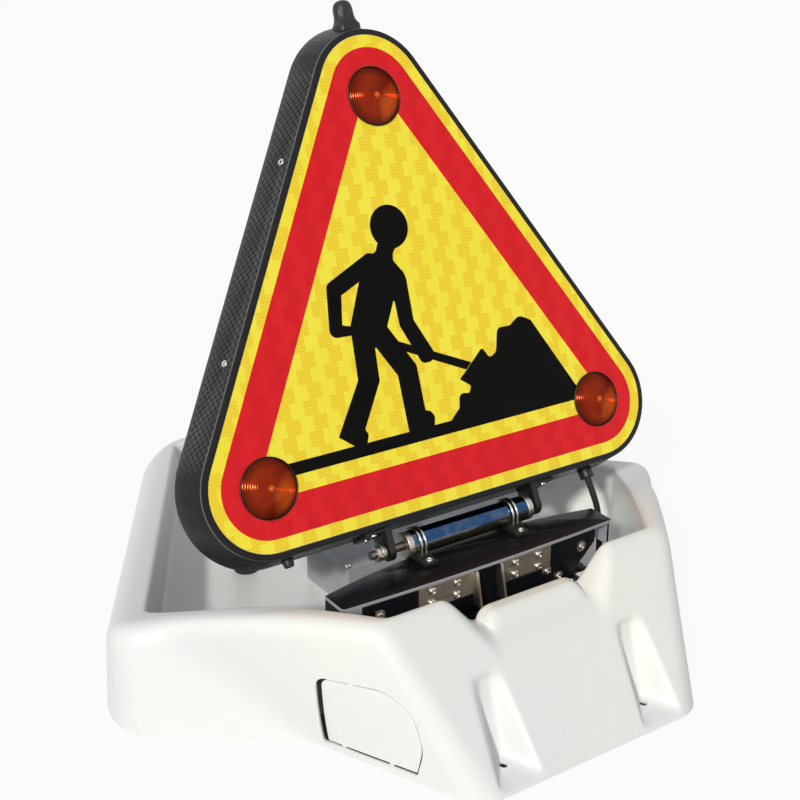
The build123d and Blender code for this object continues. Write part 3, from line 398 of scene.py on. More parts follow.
looks = {
    "white": mouldedWhite(),
    "weave": weaveBlack(),
    "yellow": safetyFilm(
        "yellowFilm", tone(254, 234, 64), tone(255, 239, 78), tone(253, 225, 62), tone(245, 210, 54)),
    "red": safetyFilm(
        "redFilm", tone(224, 30, 38), tone(228, 34, 42), tone(221, 29, 37), tone(217, 28, 36)),
    "figure": blackFilm(),
    "amber": amberLens(),
    "tube": brightTube(),
    "turned": turnedAlloy(),
    "steel": brushedSteel(),
    "deck": deckBlack(),
    "plastic": satin("mouldedBlack", tone(20, 21, 20), tone(48, 50, 48), 0.42),
    "rubber": satin("rubberBlack", tone(15, 15, 15), tone(34, 34, 34), 0.62),
    "boxGrey": satin("boxGrey", tone(150, 153, 156), tone(178, 180, 182), 0.45),
    "board": satin("boardGreen", tone(18, 74, 38), tone(36, 104, 58), 0.40),
    "led": satin("ledAmber", tone(214, 132, 40), tone(240, 170, 80), 0.20),
    "cup": plainMetal("cupBright", tone(190, 186, 176), tone(230, 228, 222), 0.12),
    "sheet": plainMetal("sheetAlloy", tone(150, 150, 150), tone(190, 190, 190), 0.35),
    "lug": satin("lugBlack", tone(14, 14, 15), tone(26, 26, 27), 0.45),
    "dull": plainMetal("dullSteel", tone(84, 78, 72), tone(132, 124, 116), 0.34),
    "screw": plainMetal("screwBright", tone(150, 146, 138), tone(214, 210, 202), 0.20),
}
nodeLooks = {
    "white": ["cowl_shell", "arch_panel_left", "arch_panel_right"],
    "weave": ["rim_frame"],
    "yellow": ["yellow_film"],
    "red": ["red_band_film"],
    "figure": ["pictogram_film"],
    "amber": ["lamp_lens_top", "lamp_lens_left", "lamp_lens_right"],
    "tube": ["drive_tube"],
    "turned": ["drive_cap_left", "drive_cap_right", "shaft_collar"],
    "steel": ["angle_bracket_left", "angle_bracket_right"],
    "dull": ["output_shaft", "idler_pin"],
    "lug": ["hinge_lug_left", "hinge_lug_right"],
    "screw": ["apron_screws", "bracket_screws", "beam_bolts", "saddle_screws", "clamp_wires",
              "control_box_screws", "back_cover_screws", "side_screws", "lug_screws", "cross_pin",
              "wire_clip"],
    "deck": ["deck_beam"],
    "plastic": ["back_cover", "latch_peg", "lamp_bezel_top", "lamp_bezel_left", "lamp_bezel_right",
                "frame_gland", "frame_plug", "box_gland", "cable_clips", "rest_posts", "peg_catch",
                "flasher_unit", "tube_saddle_left", "tube_saddle_right", "gear_motor"],
    "rubber": ["rest_pads", "lamp_cable"],
    "boxGrey": ["control_box", "control_box_lid"],
    "board": ["led_board_top", "led_board_left", "led_board_right", "control_board"],
    "led": ["lamp_leds"],
    "cup": ["lamp_cup_top", "lamp_cup_left", "lamp_cup_right"],
    "sheet": ["face_sheet"],
}
lookOf = {name: look for look, names in nodeLooks.items() for name in names}
for name, node in nodes.items():
    node.data.materials.clear()
    node.data.materials.append(looks[lookOf[name]])
print("materials:", len(looks))


def finishPiece(bm, name, nodeName, smoothAngle=35.0, ridesOn=True):
    # a mesh object at the origin that stands for a node
    mesh = bpy.data.meshes.new(name)
    bm.to_mesh(mesh)
    bm.free()
    mesh.shade_smooth()
    mesh.set_sharp_from_angle(angle=math.radians(smoothAngle))
    mesh.materials.append(looks[lookOf[nodeName]])
    piece = bpy.data.objects.new(name, mesh)
    scene.collection.objects.link(piece)
    if ridesOn:
        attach(piece, nodes[nodeName]["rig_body"])
    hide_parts(nodeName)
    return piece


copying = {"mergeWithin": 2e-6, "flatWithin": 0.6, "sharpOver": 32.0, "easeSegments": 2}


def vertsOf(geom):
    return [g for g in geom if isinstance(g, bmesh.types.BMVert)]


def mergedCopy(nodeName):
    bm = bmesh.new()
    bm.from_mesh(nodes[nodeName].data)
    bmesh.ops.remove_doubles(bm, verts=bm.verts, dist=copying["mergeWithin"])
    flat = math.radians(copying["flatWithin"])
    bmesh.ops.dissolve_limit(bm, angle_limit=flat, verts=bm.verts, edges=bm.edges)
    return bm


def softCopy(nodeName, width):
    # the node's shape with its edges eased, or only merged and smoothed where the width is 0
    bm = mergedCopy(nodeName)
    if width > 0:
        limit = math.radians(copying["sharpOver"])
        edges = [e for e in bm.edges if len(e.link_faces) == 2 and e.calc_face_angle(0.0) > limit]
        bmesh.ops.bevel(bm, geom=edges, offset=width * mm, segments=copying["easeSegments"], profile=0.5,
                        affect="EDGES", clamp_overlap=True, material=-1)
    return finishPiece(bm, nodeName + "_eased", nodeName)


def spun(profile, turns):
    # a profile of radius and height in millimetres, turned about the height axis
    bm = bmesh.new()
    verts = [bm.verts.new((r * mm, 0, h * mm)) for r, h in profile]
    edges = [bm.edges.new(pair) for pair in zip(verts, verts[1:])]
    bmesh.ops.spin(bm, geom=verts + edges, cent=(0, 0, 0), axis=(0, 0, 1), angle=2 * math.pi, steps=turns,
                   use_merge=True)
    bmesh.ops.remove_doubles(bm, verts=bm.verts, dist=1e-6)
    bmesh.ops.recalc_face_normals(bm, faces=bm.faces)
    return bm


def repeated(bm, places):
    # one shape, copied to each place
    source = bm.verts[:] + bm.edges[:] + bm.faces[:]
    for place in places[1:]:
        made = bmesh.ops.duplicate(bm, geom=source)["geom"]
        bmesh.ops.transform(bm, matrix=place, verts=vertsOf(made))
    bmesh.ops.transform(bm, matrix=places[0], verts=vertsOf(source))
    return bm


# the cowl: corners on the ground and at rim height with their radii, as in the solids but for a softer waist
cowl = {
    "ground": ((153.0, -439.5, 44.0), (245.9, -226.5, 110.0), (431.6, -130.5, 92.0), (0.0, 664.1, 205.0)),
    "rim": ((192.0, -341.5, 34.0), (345.0, -146.0, 2600.0), (396.0, -84.0, 34.0), (0.0, 616.1, 175.0)),
    "rimHeight": 140.0,
    "tray": ((88.0, 393.0, 10.0), (345.0, -76.0, 22.0), (180.0, -308.0, 16.0)),
    "arcSteps": (20, 14, 16, 28),
    "runCuts": (30, 20, 30, 150),
    "trayArcSteps": 12,
    "lowRows": (0, 2, 4.5, 7, 8.4, 9.1, 9.8, 10.5, 11.2, 13, 16),
    "wallRows": 28,
    "outerRoll": 26.0,
    "outerShare": 0.62,
    "innerRoll": 7.0,
    "innerShare": 0.36,
    "floor": 20.0,
    "bayFloor": 82.0,
    "bayRear": -236.0,
    "floorRound": 9.0,
    "skin": 3.0,
    "frontBefore": -300.0,  # what lies before this is the front wall
    "settleSteps": 40,
    "rollSteps": 9,
    "landSteps": 4,
    "lipSteps": 6,
    "innerRows": 6,
    "floorSteps": 4,
    "smoothUnder": 42.0,
}
frontEdge = {
    "dip": 127.0,
    "riseStart": 68.0,
    "peak": 168.0,
    "peakStart": 120.0,
    "roll": 13.4,
    "rollStart": 50.0,
    "rollEnd": 66.0,
    "rollSpan": (0.18, 0.62),
}
sideEdge = {
    "marks": ((439.5, 80.0), (-70.0, 110.0), (-211.0, 156.0), (-312.0, 168.0)),
    "soft": 26.0,
    "join": 8.0,
}
pocket = {
    "x": 99.0,
    "shelf": (4.0, 11.5),
    "shelfHeight": 10.0,
    "top": 104.0,
    "topFade": 0.12,
    "depth": 38.5,
    "bend": 0.75,
    "flatHalf": 6.0,
    "round": 24.0,
    "narrow": 0.72,
    "holeY": -404.0,
    "holeRadius": 4.5,
    "holeReach": 20.0,
    "holeMiddle": 5.0,
    "holeTurns": 32,
}
arch = {
    "origin": (168.0, -400.0),
    "bearing": 60.0,
    "reach": 20.0,
    "arcSteps": 8,
    "outline": ((34, 9, 4), (26, 42, 40), (39, 79, 36), (71, 100, 40), (149, 99, 11), (149, 9, 4)),
}


def ease(value, low, high):
    share = min(max((value - low) / (high - low), 0.0), 1.0)
    return share * share * (3 - 2 * share)


def lowerOf(first, second, reach):
    # the smaller of two values with the corner rounded
    near = max(reach - abs(first - second), 0.0) / reach
    return min(first, second) - near * near * reach / 4


def sideHeight(y):
    marks = sideEdge["marks"]
    for (rearY, rearZ), (foreY, foreZ) in zip(marks, marks[1:]):
        if y >= foreY:
            return rearZ + (foreZ - rearZ) * (rearY - y) / (rearY - foreY)
    return marks[-1][1]


def edgeHeight(x, y):
    # height of the cowl's edge over a point of its plan
    f, soft = frontEdge, sideEdge["soft"]
    front = f["dip"] + (f["peak"] - f["dip"]) * ease(abs(x), f["riseStart"], f["peakStart"])
    side = (sideHeight(y - soft) + 2 * sideHeight(y) + sideHeight(y + soft)) / 4
    return lowerOf(front, side, sideEdge["join"])


def rollLift(x):
    # the roll on the front edge between its two dips, with rounded ends
    past = max(abs(x) - frontEdge["rollStart"], 0.0) / (frontEdge["rollEnd"] - frontEdge["rollStart"])
    return frontEdge["roll"] * math.sqrt(max(1 - past * past, 0.0))


def outlineLoop(corners, arcSteps, runCuts):
    # a closed line of runs and arcs, spun and divided; its points in order
    bm = bmesh.new()
    count = len(corners)
    ends = []
    for k, (x, y, radius) in enumerate(corners):
        here = Vector((x, y, 0))
        before = Vector((*corners[k - 1][:2], 0))
        after = Vector((*corners[(k + 1) % count][:2], 0))
        into = (here - before).normalized()
        away = (after - here).normalized()
        turn = into.angle(away)
        hand = 1 if into.cross(away).z > 0 else -1
        start = bm.verts.new(here - into * radius * math.tan(turn / 2))
        centre = start.co + Vector((-into.y, into.x, 0)) * radius * hand
        arc = bmesh.ops.spin(bm, geom=[start], cent=centre, axis=(0, 0, 1), angle=turn * hand,
                             steps=arcSteps[k])
        ends.append((start, vertsOf(arc["geom_last"])[0]))
    for k in range(count):
        tip = ends[k][1]
        run = bm.edges.new((tip, ends[(k + 1) % count][0]))
        for cut in range(runCuts[k], 0, -1):
            tip = bmesh.utils.edge_split(run, tip, 1 / (cut + 1))[1]
    points, seen, here = [], set(), ends[0][0]
    ahead = min(here.link_edges, key=lambda e: (e.other_vert(here).co - ends[0][1].co).length)
    while here not in seen:
        seen.add(here)
        points.append(here.co.copy())
        here = ahead.other_vert(here)
        ahead = next(e for e in here.link_edges if e is not ahead)
    bm.free()
    return points


def bothSides(right):
    return list(right) + [(-x, y, r) for x, y, r in reversed(right) if x > 0.01]


def nearestOn(loop, point):
    best, found = 1e9, None
    for a, b in zip(loop, loop[1:] + loop[:1]):
        run = b - a
        share = min(max((point - a).dot(run) / run.length_squared, 0.0), 1.0)
        spot = a + run * share
        if (spot - point).length_squared < best:
            best, found = (spot - point).length_squared, spot
    return found


def roundTurn(before, corner, after, steps):
    # points of a rounded corner from one tangent point to the other
    shares = [k / steps for k in range(steps + 1)]
    return [before.lerp(corner, t).lerp(corner.lerp(after, t), t) for t in shares]


def dented(point):
    # the front face pushed in at the two fixing pockets
    share = min((pocket["top"] - point.z) / (pocket["top"] - pocket["shelfHeight"]), 1.0)
    wide = pocket["narrow"] + (1 - pocket["narrow"]) * share
    aside = max(abs(abs(point.x) - pocket["x"]) - wide * pocket["flatHalf"], 0.0) / (wide * pocket["round"])
    if aside >= 1 or share <= 0:
        return point
    depth = pocket["depth"] * share ** pocket["bend"] * ease(share, 0.0, pocket["topFade"])
    depth *= ease(point.z, *pocket["shelf"])
    return point + Vector((0, depth * (0.5 + 0.5 * math.cos(math.pi * aside)), 0))


def cowlSection(low, high, tray):
    # points of one cut through the wall, from the ground over the edge to the floor of the tray
    def onWall(z):
        spot = low.lerp(high, z / cowl["rimHeight"])
        return Vector((spot.x, spot.y, z))
    top = cowl["rimHeight"]
    for step in range(cowl["settleSteps"]):
        spot = onWall(top)
        top += 0.5 * (edgeHeight(spot.x, spot.y) - top)
    brink = onWall(top)
    lip = nearestOn(tray, Vector((brink.x, brink.y, 0)))
    lip.z = edgeHeight(lip.x, lip.y)
    land = (lip - brink).length
    outer = min(cowl["outerShare"] * land, cowl["outerRoll"])
    inner = min(cowl["innerShare"] * land, cowl["innerRoll"])
    wallEnd = onWall(top - cowl["outerRoll"])
    points = [onWall(z) for z in cowl["lowRows"]]
    points += [points[-1].lerp(wallEnd, k / cowl["wallRows"]) for k in range(1, cowl["wallRows"])]
    points = [dented(p) if p.y < cowl["frontBefore"] else p for p in points]
    lipEnd = lip - Vector((0, 0, cowl["innerRoll"]))
    lipStart = lip.lerp(brink, inner / land)
    over = roundTurn(wallEnd, brink, brink.lerp(lip, outer / land), cowl["rollSteps"])
    over += [over[-1].lerp(lipStart, k / cowl["landSteps"]) for k in range(1, cowl["landSteps"])]
    over += roundTurn(lipStart, lip, lipEnd, cowl["lipSteps"])
    if lip.y < cowl["frontBefore"]:
        for spot in over:
            share = (spot - brink).dot(lip - brink) / land ** 2
            spot.z += rollLift(lip.x) * ease(share, *frontEdge["rollSpan"])
    points += over
    foot = Vector((lip.x, lip.y, cowl["bayFloor"] if lip.y < cowl["bayRear"] else cowl["floor"]))
    inward = (foot - Vector((brink.x, brink.y, foot.z))).normalized() * cowl["floorRound"]
    footStart = foot + Vector((0, 0, cowl["floorRound"]))
    points += [lipEnd.lerp(footStart, k / cowl["innerRows"]) for k in range(1, cowl["innerRows"])]
    return points + roundTurn(footStart, foot, foot + inward, cowl["floorSteps"])


def cowlShell():
    counts = cowl["arcSteps"] + cowl["arcSteps"][2::-1]
    cuts = cowl["runCuts"][:3] + cowl["runCuts"][2::-1] + (cowl["runCuts"][3],)
    low = outlineLoop(bothSides(cowl["ground"]), counts, cuts)
    high = outlineLoop(bothSides(cowl["rim"]), counts, cuts)
    trayCorners = bothSides(cowl["tray"])
    tray = outlineLoop(trayCorners, [cowl["trayArcSteps"]] * len(trayCorners), [0] * len(trayCorners))
    sections = [cowlSection(a, b, tray) for a, b in zip(low, high)]
    bm = bmesh.new()
    ring = [bm.verts.new(section[0] * mm) for section in sections]
    edges = [bm.edges.new((a, b)) for a, b in zip(ring, ring[1:] + ring[:1])]
    for k in range(1, len(sections[0])):
        made = bmesh.ops.extrude_edge_only(bm, edges=edges)["geom"]
        fresh = set(vertsOf(made))
        above = {}
        for vert in fresh:
            source = next(e.other_vert(vert) for e in vert.link_edges if e.other_vert(vert) not in fresh)
            above[source] = vert
        ring = [above[v] for v in ring]
        for vert, section in zip(ring, sections):
            vert.co = section[k] * mm
        edges = [bm.edges.get((a, b)) for a, b in zip(ring, ring[1:] + ring[:1])]
    between = (cowl["bayFloor"] + cowl["floor"]) / 2 * mm
    bay = [v for v in ring if v.co.z > between]
    deep = [v for v in ring if v.co.z < between]
    order = {v: k for k, v in enumerate(ring)}
    bayRight = max((v for v in bay if v.co.x > 0), key=lambda v: v.co.y)
    bayLeft = max((v for v in bay if v.co.x < 0), key=lambda v: v.co.y)
    deepRight = min((v for v in deep if v.co.x > 0), key=lambda v: v.co.y)
    deepLeft = min((v for v in deep if v.co.x < 0), key=lambda v: v.co.y)
    bm.faces.new(sorted(bay, key=lambda v: (order[v] - order[bayLeft]) % len(ring)))
    bm.faces.new(sorted(deep, key=lambda v: (order[v] - order[deepRight]) % len(ring)))
    bm.faces.new((bayRight, deepRight, deepLeft, bayLeft))
    bmesh.ops.remove_doubles(bm, verts=bm.verts, dist=1e-6)
    bmesh.ops.recalc_face_normals(bm, faces=bm.faces)
    foremost = min(bm.faces, key=lambda f: f.calc_center_median().y)
    if foremost.normal.y > 0:
        bmesh.ops.reverse_faces(bm, faces=bm.faces)
    return bm


def cutter(bm, name):
    bmesh.ops.recalc_face_normals(bm, faces=bm.faces)
    mesh = bpy.data.meshes.new(name)
    bm.to_mesh(mesh)
    bm.free()
    tool = bpy.data.objects.new(name, mesh)
    scene.collection.objects.link(tool)
    return tool


def archCutter(hand):
    count = len(arch["outline"])
    points = outlineLoop(arch["outline"], [arch["arcSteps"]] * count, [0] * count)
    bm = bmesh.new()
    face = bm.faces.new([bm.verts.new(p * mm) for p in points])
    grown = bmesh.ops.extrude_face_region(bm, geom=[face])["geom"]
    bmesh.ops.translate(bm, vec=(0, 0, 2 * arch["reach"] * mm), verts=vertsOf(grown))
    bmesh.ops.translate(bm, vec=(0, 0, -arch["reach"] * mm), verts=bm.verts)
    bearing = math.radians(arch["bearing"])
    place = Matrix((
        (math.cos(bearing), 0, math.sin(bearing), arch["origin"][0] * mm),
        (math.sin(bearing), 0, -math.cos(bearing), arch["origin"][1] * mm),
        (0, 1, 0, 0),
        (0, 0, 0, 1),
    ))
    bmesh.ops.transform(bm, matrix=Matrix.Diagonal((hand, 1, 1, 1)) @ place, verts=bm.verts)
    return cutter(bm, "archCutter")


def holeCutter(hand):
    bm = bmesh.new()
    radius = pocket["holeRadius"] * mm
    bmesh.ops.create_cone(bm, cap_ends=True, segments=pocket["holeTurns"], radius1=radius, radius2=radius,
                          depth=2 * pocket["holeReach"] * mm)
    middle = Vector((hand * pocket["x"], pocket["holeY"], pocket["holeMiddle"])) * mm
    bmesh.ops.translate(bm, vec=middle, verts=bm.verts)
    return cutter(bm, "holeCutter")


def cutAway(piece, thick, tools):
    # a wall of that thickness, then the openings; nothing reaches below the ground
    wall = piece.modifiers.new("wall", "SOLIDIFY")
    wall.thickness = thick * mm
    wall.offset = -1.0
    for tool in tools:
        step = piece.modifiers.new("cut", "BOOLEAN")
        step.operation = "DIFFERENCE"
        step.solver = "EXACT"
        step.object = tool
    bpy.context.view_layer.update()
    graph = bpy.context.evaluated_depsgraph_get()
    mesh = bpy.data.meshes.new_from_object(piece.evaluated_get(graph))
    piece.modifiers.clear()
    piece.data = mesh
    for tool in tools:
        bpy.data.objects.remove(tool)
    for vert in mesh.vertices:
        vert.co.z = max(vert.co.z, 0.0)
    mesh.shade_smooth()
    mesh.set_sharp_from_angle(angle=math.radians(cowl["smoothUnder"]))


shell = finishPiece(cowlShell(), "cowl_moulding", "cowl_shell", cowl["smoothUnder"])
cutAway(shell, cowl["skin"], [archCutter(1), archCutter(-1), holeCutter(1), holeCutter(-1)])
print("cowl:", len(shell.data.polygons), "faces")


# lamps: a ringed lens with a nipple, and a thin rim round it
lamp = {
    "lensRadius": 33.0,
    "crown": 6.2,
    "base": 1.2,
    "wall": 2.2,
    "seat": -0.5,
    "skirt": 1.5,
    "insideSteps": 10,
    "rings": 12,
    "ringDepth": 0.5,
    "ringMargin": 0.6,
    "edgeDrop": 0.4,
    "grooveStart": 0.30,  # share of the rings' pitch
    "grooveFloor": (0.72, 0.90),  # shares of the rings' pitch
    "grooveDip": 0.15,  # share of the rings' depth
    "nipple": 3.0,
    "nippleRise": 1.3,
    "nippleSteps": ((0.0, 1.0), (1.4, 0.8), (2.4, 0.25)),  # radius, and share of the rise
    "rimOutside": 34.0,
    "rimTop": 1.8,
    "rimEase": (0.3, 0.4),
    "turns": 96,
}


def lensProfile():
    outer, crown = lamp["lensRadius"], lamp["crown"]
    ball = (outer ** 2 + crown ** 2) / (2 * crown)

    def dome(r):
        return math.sqrt(ball ** 2 - r ** 2) - ball + crown + lamp["base"]
    points = [(r, dome(0) + share * lamp["nippleRise"]) for r, share in lamp["nippleSteps"]]
    points.append((lamp["nipple"], dome(lamp["nipple"])))
    pitch = (outer - lamp["nipple"] - lamp["ringMargin"]) / lamp["rings"]
    dip = lamp["grooveDip"] * lamp["ringDepth"]
    for k in range(lamp["rings"]):
        start = lamp["nipple"] + k * pitch
        points.append((start + lamp["grooveStart"] * pitch, dome(start) - dip))
        for share in lamp["grooveFloor"]:
            points.append((start + share * pitch, dome(start + share * pitch) - lamp["ringDepth"]))
        points.append((start + pitch, dome(start + pitch)))
    inner, seat, steps = outer - lamp["skirt"], lamp["seat"], lamp["insideSteps"]
    points += [(outer, dome(outer) - lamp["edgeDrop"]), (outer, seat), (inner, seat)]
    inside = [inner - k * inner / steps for k in range(1, steps + 1)]
    return points + [(r, dome(r) - lamp["wall"]) for r in inside]


def rimProfile():
    inside, outside, top, seat = lamp["lensRadius"], lamp["rimOutside"], lamp["rimTop"], lamp["seat"]
    inEase, outEase = lamp["rimEase"]
    return [(inside, seat), (inside, top - inEase), (inside + inEase, top), (outside - outEase, top),
            (outside, top - outEase), (outside, seat), (inside, seat)]


for name, angle in sign["lampAngles"].items():
    bearing = math.radians(angle)
    spot = Vector((math.cos(bearing), math.sin(bearing), 0)) * sign["lampReach"] * mm
    place = signPlace @ Matrix.Translation(spot)
    lens = repeated(spun(lensProfile(), lamp["turns"]), [place])
    finishPiece(lens, "lens_" + name, "lamp_lens_" + name, 30.0)
    rim = repeated(spun(rimProfile(), lamp["turns"]), [place])
    finishPiece(rim, "bezel_" + name, "lamp_bezel_" + name, 40.0)
print("lamps:", len(sign["lampAngles"]))


# peg on the apex, ribbed lengthwise, with a flared foot
peg = {
    "behindFace": 28.0,
    "turns": 60,
    "ribEvery": 5,
    "ribRise": 0.5,
    "ribSpan": (356.0, 377.0),
    "footDepth": 12.6,
    "profile": ((16.4, 346.0), (16.4, 352.5), (15.2, 354.2), (13.4, 356.5), (12.0, 359.5), (11.3, 363.0),
                (11.0, 368.0), (10.8, 373.0), (10.0, 377.2), (8.0, 380.0), (4.5, 381.5), (0.0, 382.0)),
}


def ribbedPeg():
    bm = spun(peg["profile"], peg["turns"])
    depth = peg["footDepth"] * mm
    for vert in bm.verts:
        column = round(math.atan2(vert.co.y, vert.co.x) / (2 * math.pi) * peg["turns"])
        if column % peg["ribEvery"] == 0 and peg["ribSpan"][0] < vert.co.z / mm < peg["ribSpan"][1]:
            flat = Vector((vert.co.x, vert.co.y, 0))
            vert.co += flat.normalized() * peg["ribRise"] * mm
        vert.co.y = min(max(vert.co.y, -depth), depth)
    behind = Matrix.Translation((0, 0, -peg["behindFace"] * mm))
    return repeated(bm, [signPlace @ behind @ Matrix.Rotation(math.radians(-90), 4, "X")])


finishPiece(ribbedPeg(), "apex_peg", "latch_peg", 40.0)

# button heads on the brackets and ringed ones on the apron
screws = {
    "turns": 28,
    "face": -240.0,
    "bracketThick": 3.0,
    "bracketColumns": (42.0, 76.0),
    "bracketRows": (116.0, 131.0),
    "apronPlaces": ((144.0, 121.0), (91.0, 104.0), (110.0, 91.0)),
    "button": ((0.0, 0.9), (2.1, 0.9), (2.2, 2.6), (2.8, 3.0), (3.9, 2.7), (4.8, 1.9), (5.2, 0.8),
               (5.2, -1.0)),
    "ringed": ((0.0, 0.9), (2.1, 0.9), (2.2, 2.6), (2.8, 3.0), (3.8, 2.6), (4.4, 1.6), (4.6, 0.9), (6.4, 0.9),
               (6.8, 0.6), (6.8, -1.0)),
}
headTurn = Matrix.Rotation(math.radians(90), 4, "X")
bracketFace = screws["face"] - screws["bracketThick"]
bracketPlaces = [Matrix.Translation(Vector((s * x, bracketFace, z)) * mm) @ headTurn
                 for s in (-1, 1) for x in screws["bracketColumns"] for z in screws["bracketRows"]]
apronPlaces = [Matrix.Translation(Vector((s * x, screws["face"], z)) * mm) @ headTurn
               for s in (-1, 1) for x, z in screws["apronPlaces"]]
buttons = repeated(spun(screws["button"], screws["turns"]), bracketPlaces)
finishPiece(buttons, "bracket_heads", "bracket_screws", 40.0)
ringed = repeated(spun(screws["ringed"], screws["turns"]), apronPlaces)
finishPiece(ringed, "apron_heads", "apron_screws", 40.0)

# socket heads: the radius of each, and shares of it for the rounding and the recess
socketHead = {
    "radius": {"side_screws": 4.0, "back_cover_screws": 4.0, "lug_screws": 4.0, "saddle_screws": 4.0,
               "control_box_screws": 4.0, "beam_bolts": 6.5},
    "round": 0.25,
    "roundSegments": 3,
    "ledge": 0.22,
    "slope": 0.02,
    "recess": 0.35,
    "leastSides": 8,
    "discMatch": 0.06,
    "topMatch": 0.1,
}


def socketHeads(nodeName, radius):
    # the node's screws with rounded heads and a round recess in each
    bm = mergedCopy(nodeName)
    head = socketHead
    whole = math.pi * (radius * mm) ** 2
    flatTop = whole * (1 - head["round"]) ** 2

    def discs(area, match):
        return [f for f in bm.faces if len(f.verts) > head["leastSides"]
                and abs(f.calc_area() / area - 1) < match]
    rims = list({e for f in discs(whole, head["discMatch"]) for e in f.edges})
    made = bmesh.ops.bevel(bm, geom=rims, offset=head["round"] * radius * mm, segments=head["roundSegments"],
                           profile=0.5, affect="EDGES", clamp_overlap=True, material=-1)
    rounded = set(made["faces"])
    tops = [f for f in discs(flatTop, head["topMatch"]) if f not in rounded]
    bmesh.ops.inset_individual(bm, faces=tops, thickness=head["ledge"] * radius * mm)
    bmesh.ops.inset_individual(bm, faces=tops, thickness=head["slope"] * radius * mm,
                               depth=-head["recess"] * radius * mm)
    return finishPiece(bm, nodeName + "_heads", nodeName)


for name, radius in socketHead["radius"].items():
    socketHeads(name, radius)
print("screws done")

# the lamp cable: leaves the gland, hangs beside the deck, runs on the tray floor into the control box
cable = {
    "route": ((213.0, -158.87, 179.66), (213.0, -174.13, 161.13), (220.0, -190.0, 118.0),
              (222.0, -190.0, 24.0), (222.0, -40.0, 24.0), (130.0, -10.0, 24.0), (106.0, -10.0, 45.0),
              (72.5, -10.0, 45.0)),
    "diameter": 8.0,
    "bendFrom": (213.0, -175.0, 176.0),
    "bendTo": (213.0, -175.0, 108.0),
}
cableLine = bpy.data.curves.new("cableLine", "CURVE")
cableLine.dimensions = "3D"
spline = cableLine.splines.new("NURBS")
spline.points.add(len(cable["route"]) - 1)
for point, spot in zip(spline.points, cable["route"]):
    point.co = (*(Vector(spot) * mm), 1.0)
spline.order_u = 3
spline.use_endpoint_u = True
spline.resolution_u = 24
lineHolder = bpy.data.objects.new("cableLine", cableLine)
scene.collection.objects.link(lineHolder)
lineMesh = bpy.data.meshes.new_from_object(lineHolder)
cableLine.bevel_depth = cable["diameter"] / 2 * mm
cableLine.bevel_resolution = 5
cableLine.use_fill_caps = True
bpy.context.view_layer.update()
bm = bmesh.new()
bm.from_mesh(bpy.data.meshes.new_from_object(lineHolder))
bmesh.ops.remove_doubles(bm, verts=bm.verts, dist=1e-6)
bmesh.ops.recalc_face_normals(bm, faces=bm.faces)
bpy.data.objects.remove(lineHolder)
cord = finishPiece(bm, "lamp_lead", "lamp_cable", 50.0, ridesOn=False)
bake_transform(cord)

# the other nodes keep their shape, with eased edges where they show
easing = {
    "rim_frame": 1.2, "back_cover": 1.0, "drive_tube": 0.3, "drive_cap_left": 1.0, "drive_cap_right": 1.0,
    "deck_beam": 0.5, "angle_bracket_left": 0.6, "angle_bracket_right": 0.6, "hinge_lug_left": 0.8,
    "hinge_lug_right": 0.8, "tube_saddle_left": 0.6, "tube_saddle_right": 0.6, "control_box": 0.8,
    "control_box_lid": 1.0, "peg_catch": 1.5, "shaft_collar": 0.8, "idler_pin": 0.6, "output_shaft": 0.6,
    "frame_plug": 0.8, "frame_gland": 0.8, "box_gland": 0.8, "rest_posts": 1.0, "cable_clips": 0.5,
    "cross_pin": 0.3, "clamp_wires": 0.0, "wire_clip": 0.0, "rest_pads": 0.0, "lamp_cup_top": 0.0,
    "lamp_cup_left": 0.0, "lamp_cup_right": 0.0,
}
for name, width in easing.items():
    softCopy(name, width)
# the arched panels lie 3 mm further in than the solids have them
panelEase = 0.8
panelStep = {"arch_panel_left": (2.6, 1.5, 0.0), "arch_panel_right": (-2.6, 1.5, 0.0)}
for name, step in panelStep.items():
    softCopy(name, panelEase).data.transform(Matrix.Translation(Vector(step) * mm))
print("eased pieces:", len(easing) + len(panelStep))


# camera where the photograph was taken from
view = {
    "place": (-0.84561, -1.31280, 0.88002),
    "look": (0.522149, 0.769338, -0.368075),
    "lens": 61.066,
    "sensor": 36.0,
}
eye = bpy.data.cameras.new("photoCamera")
eye.lens = view["lens"]
eye.sensor_width = view["sensor"]
camera = bpy.data.objects.new("photoCamera", eye)
camera.location = view["place"]
camera.rotation_mode = "QUATERNION"
camera.rotation_quaternion = Vector(view["look"]).to_track_quat("-Z", "Y")
scene.collection.objects.link(camera)
scene.camera = camera


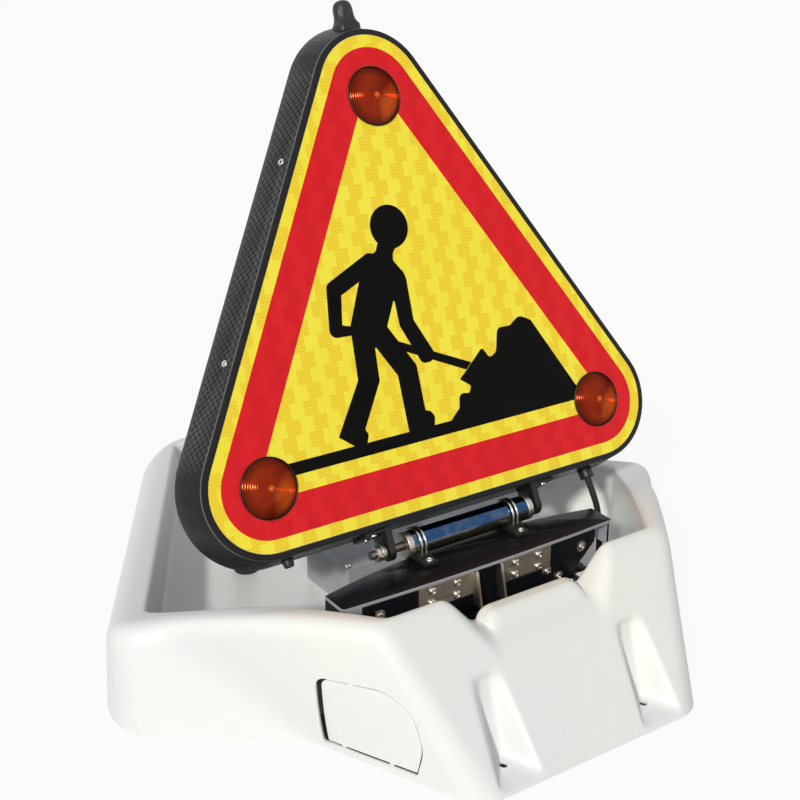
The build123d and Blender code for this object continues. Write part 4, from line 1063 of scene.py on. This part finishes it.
# pale floor, soft sky and one soft lamp from the left
studio = {
    "floorHalf": 30.0,
    "floorDrop": 0.0006,
    "floorTone": tone(206, 206, 206),
    "floorShine": 0.93,
    "white": (1, 1, 1, 1),
    "foreWidth": 0.332,  # half width of the floor that the cowl stands on, which doesn't shine
    "foreSlope": 0.436,
    "midWidth": 0.235,
    "rearWidth": 0.30,
    "rearSlope": -0.54,
    "bodyMiddle": -0.015,
    "bodyHalf": 0.415,
    "skyLevel": 0.31,
    "skyTone": (0.88, 0.94, 1.0, 1.0),
    "keyFrom": (-0.68, -0.55, 0.49),
    "keyLevel": 2.58,
    "keyTone": (1.0, 0.98, 0.90),
    "keySpread": 4.0,
}
bm = bmesh.new()
bmesh.ops.create_grid(bm, x_segments=1, y_segments=1, size=studio["floorHalf"])
bmesh.ops.translate(bm, vec=(0, 0, -studio["floorDrop"]), verts=bm.verts)
floorMesh = bpy.data.meshes.new("floor")
bm.to_mesh(floorMesh)
bm.free()
floor = bpy.data.objects.new("floor", floorMesh)
scene.collection.objects.link(floor)
ground = newLook("paleFloor", {
    "Base Color": studio["floorTone"], "Roughness": 0.9, "Specular IOR Level": 0.0})
shine = ground.add("ShaderNodeEmission", inputs={"Color": studio["white"], "Strength": 1.0})
floorX, floorY = ground.axes(ground.spot())[:2]
fore = floorY * studio["foreSlope"] + studio["foreWidth"]
rear = floorY * studio["rearSlope"] + studio["rearWidth"]
under = fore.maths("MINIMUM", rear).maths("MINIMUM", studio["midWidth"])
past = abs(floorY - studio["bodyMiddle"]) > studio["bodyHalf"]
beside = (abs(floorX) > under).maths("MAXIMUM", past)
pale = ground.add("ShaderNodeMixShader", inputs={
    0: ground.plainlySeen() * studio["floorShine"] * beside,
    1: Wire(ground, ground.shader.outputs[0]),
    2: shine,
})
ground.tree.links.new(pale.socket, ground.tree.nodes["Material Output"].inputs[0])
floorMesh.materials.append(ground.block)

world = bpy.data.worlds.new("studioWorld")
sky = Paint(world, "Background", {})
seen = sky.plainlySeen()
sky.feed("Strength", studio["skyLevel"] + seen * (1 - studio["skyLevel"]))
sky.feed("Color", sky.mix(seen, studio["skyTone"], studio["white"]))
scene.world = world

lampData = bpy.data.lights.new("key", "SUN")
lampData.energy = studio["keyLevel"]
lampData.angle = math.radians(studio["keySpread"])
lampData.color = studio["keyTone"]
key = bpy.data.objects.new("key", lampData)
key.rotation_mode = "QUATERNION"
key.rotation_quaternion = (-Vector(studio["keyFrom"])).to_track_quat("-Z", "Y")
scene.collection.objects.link(key)
scene.view_settings.view_transform = "Standard"
print("studio ready")
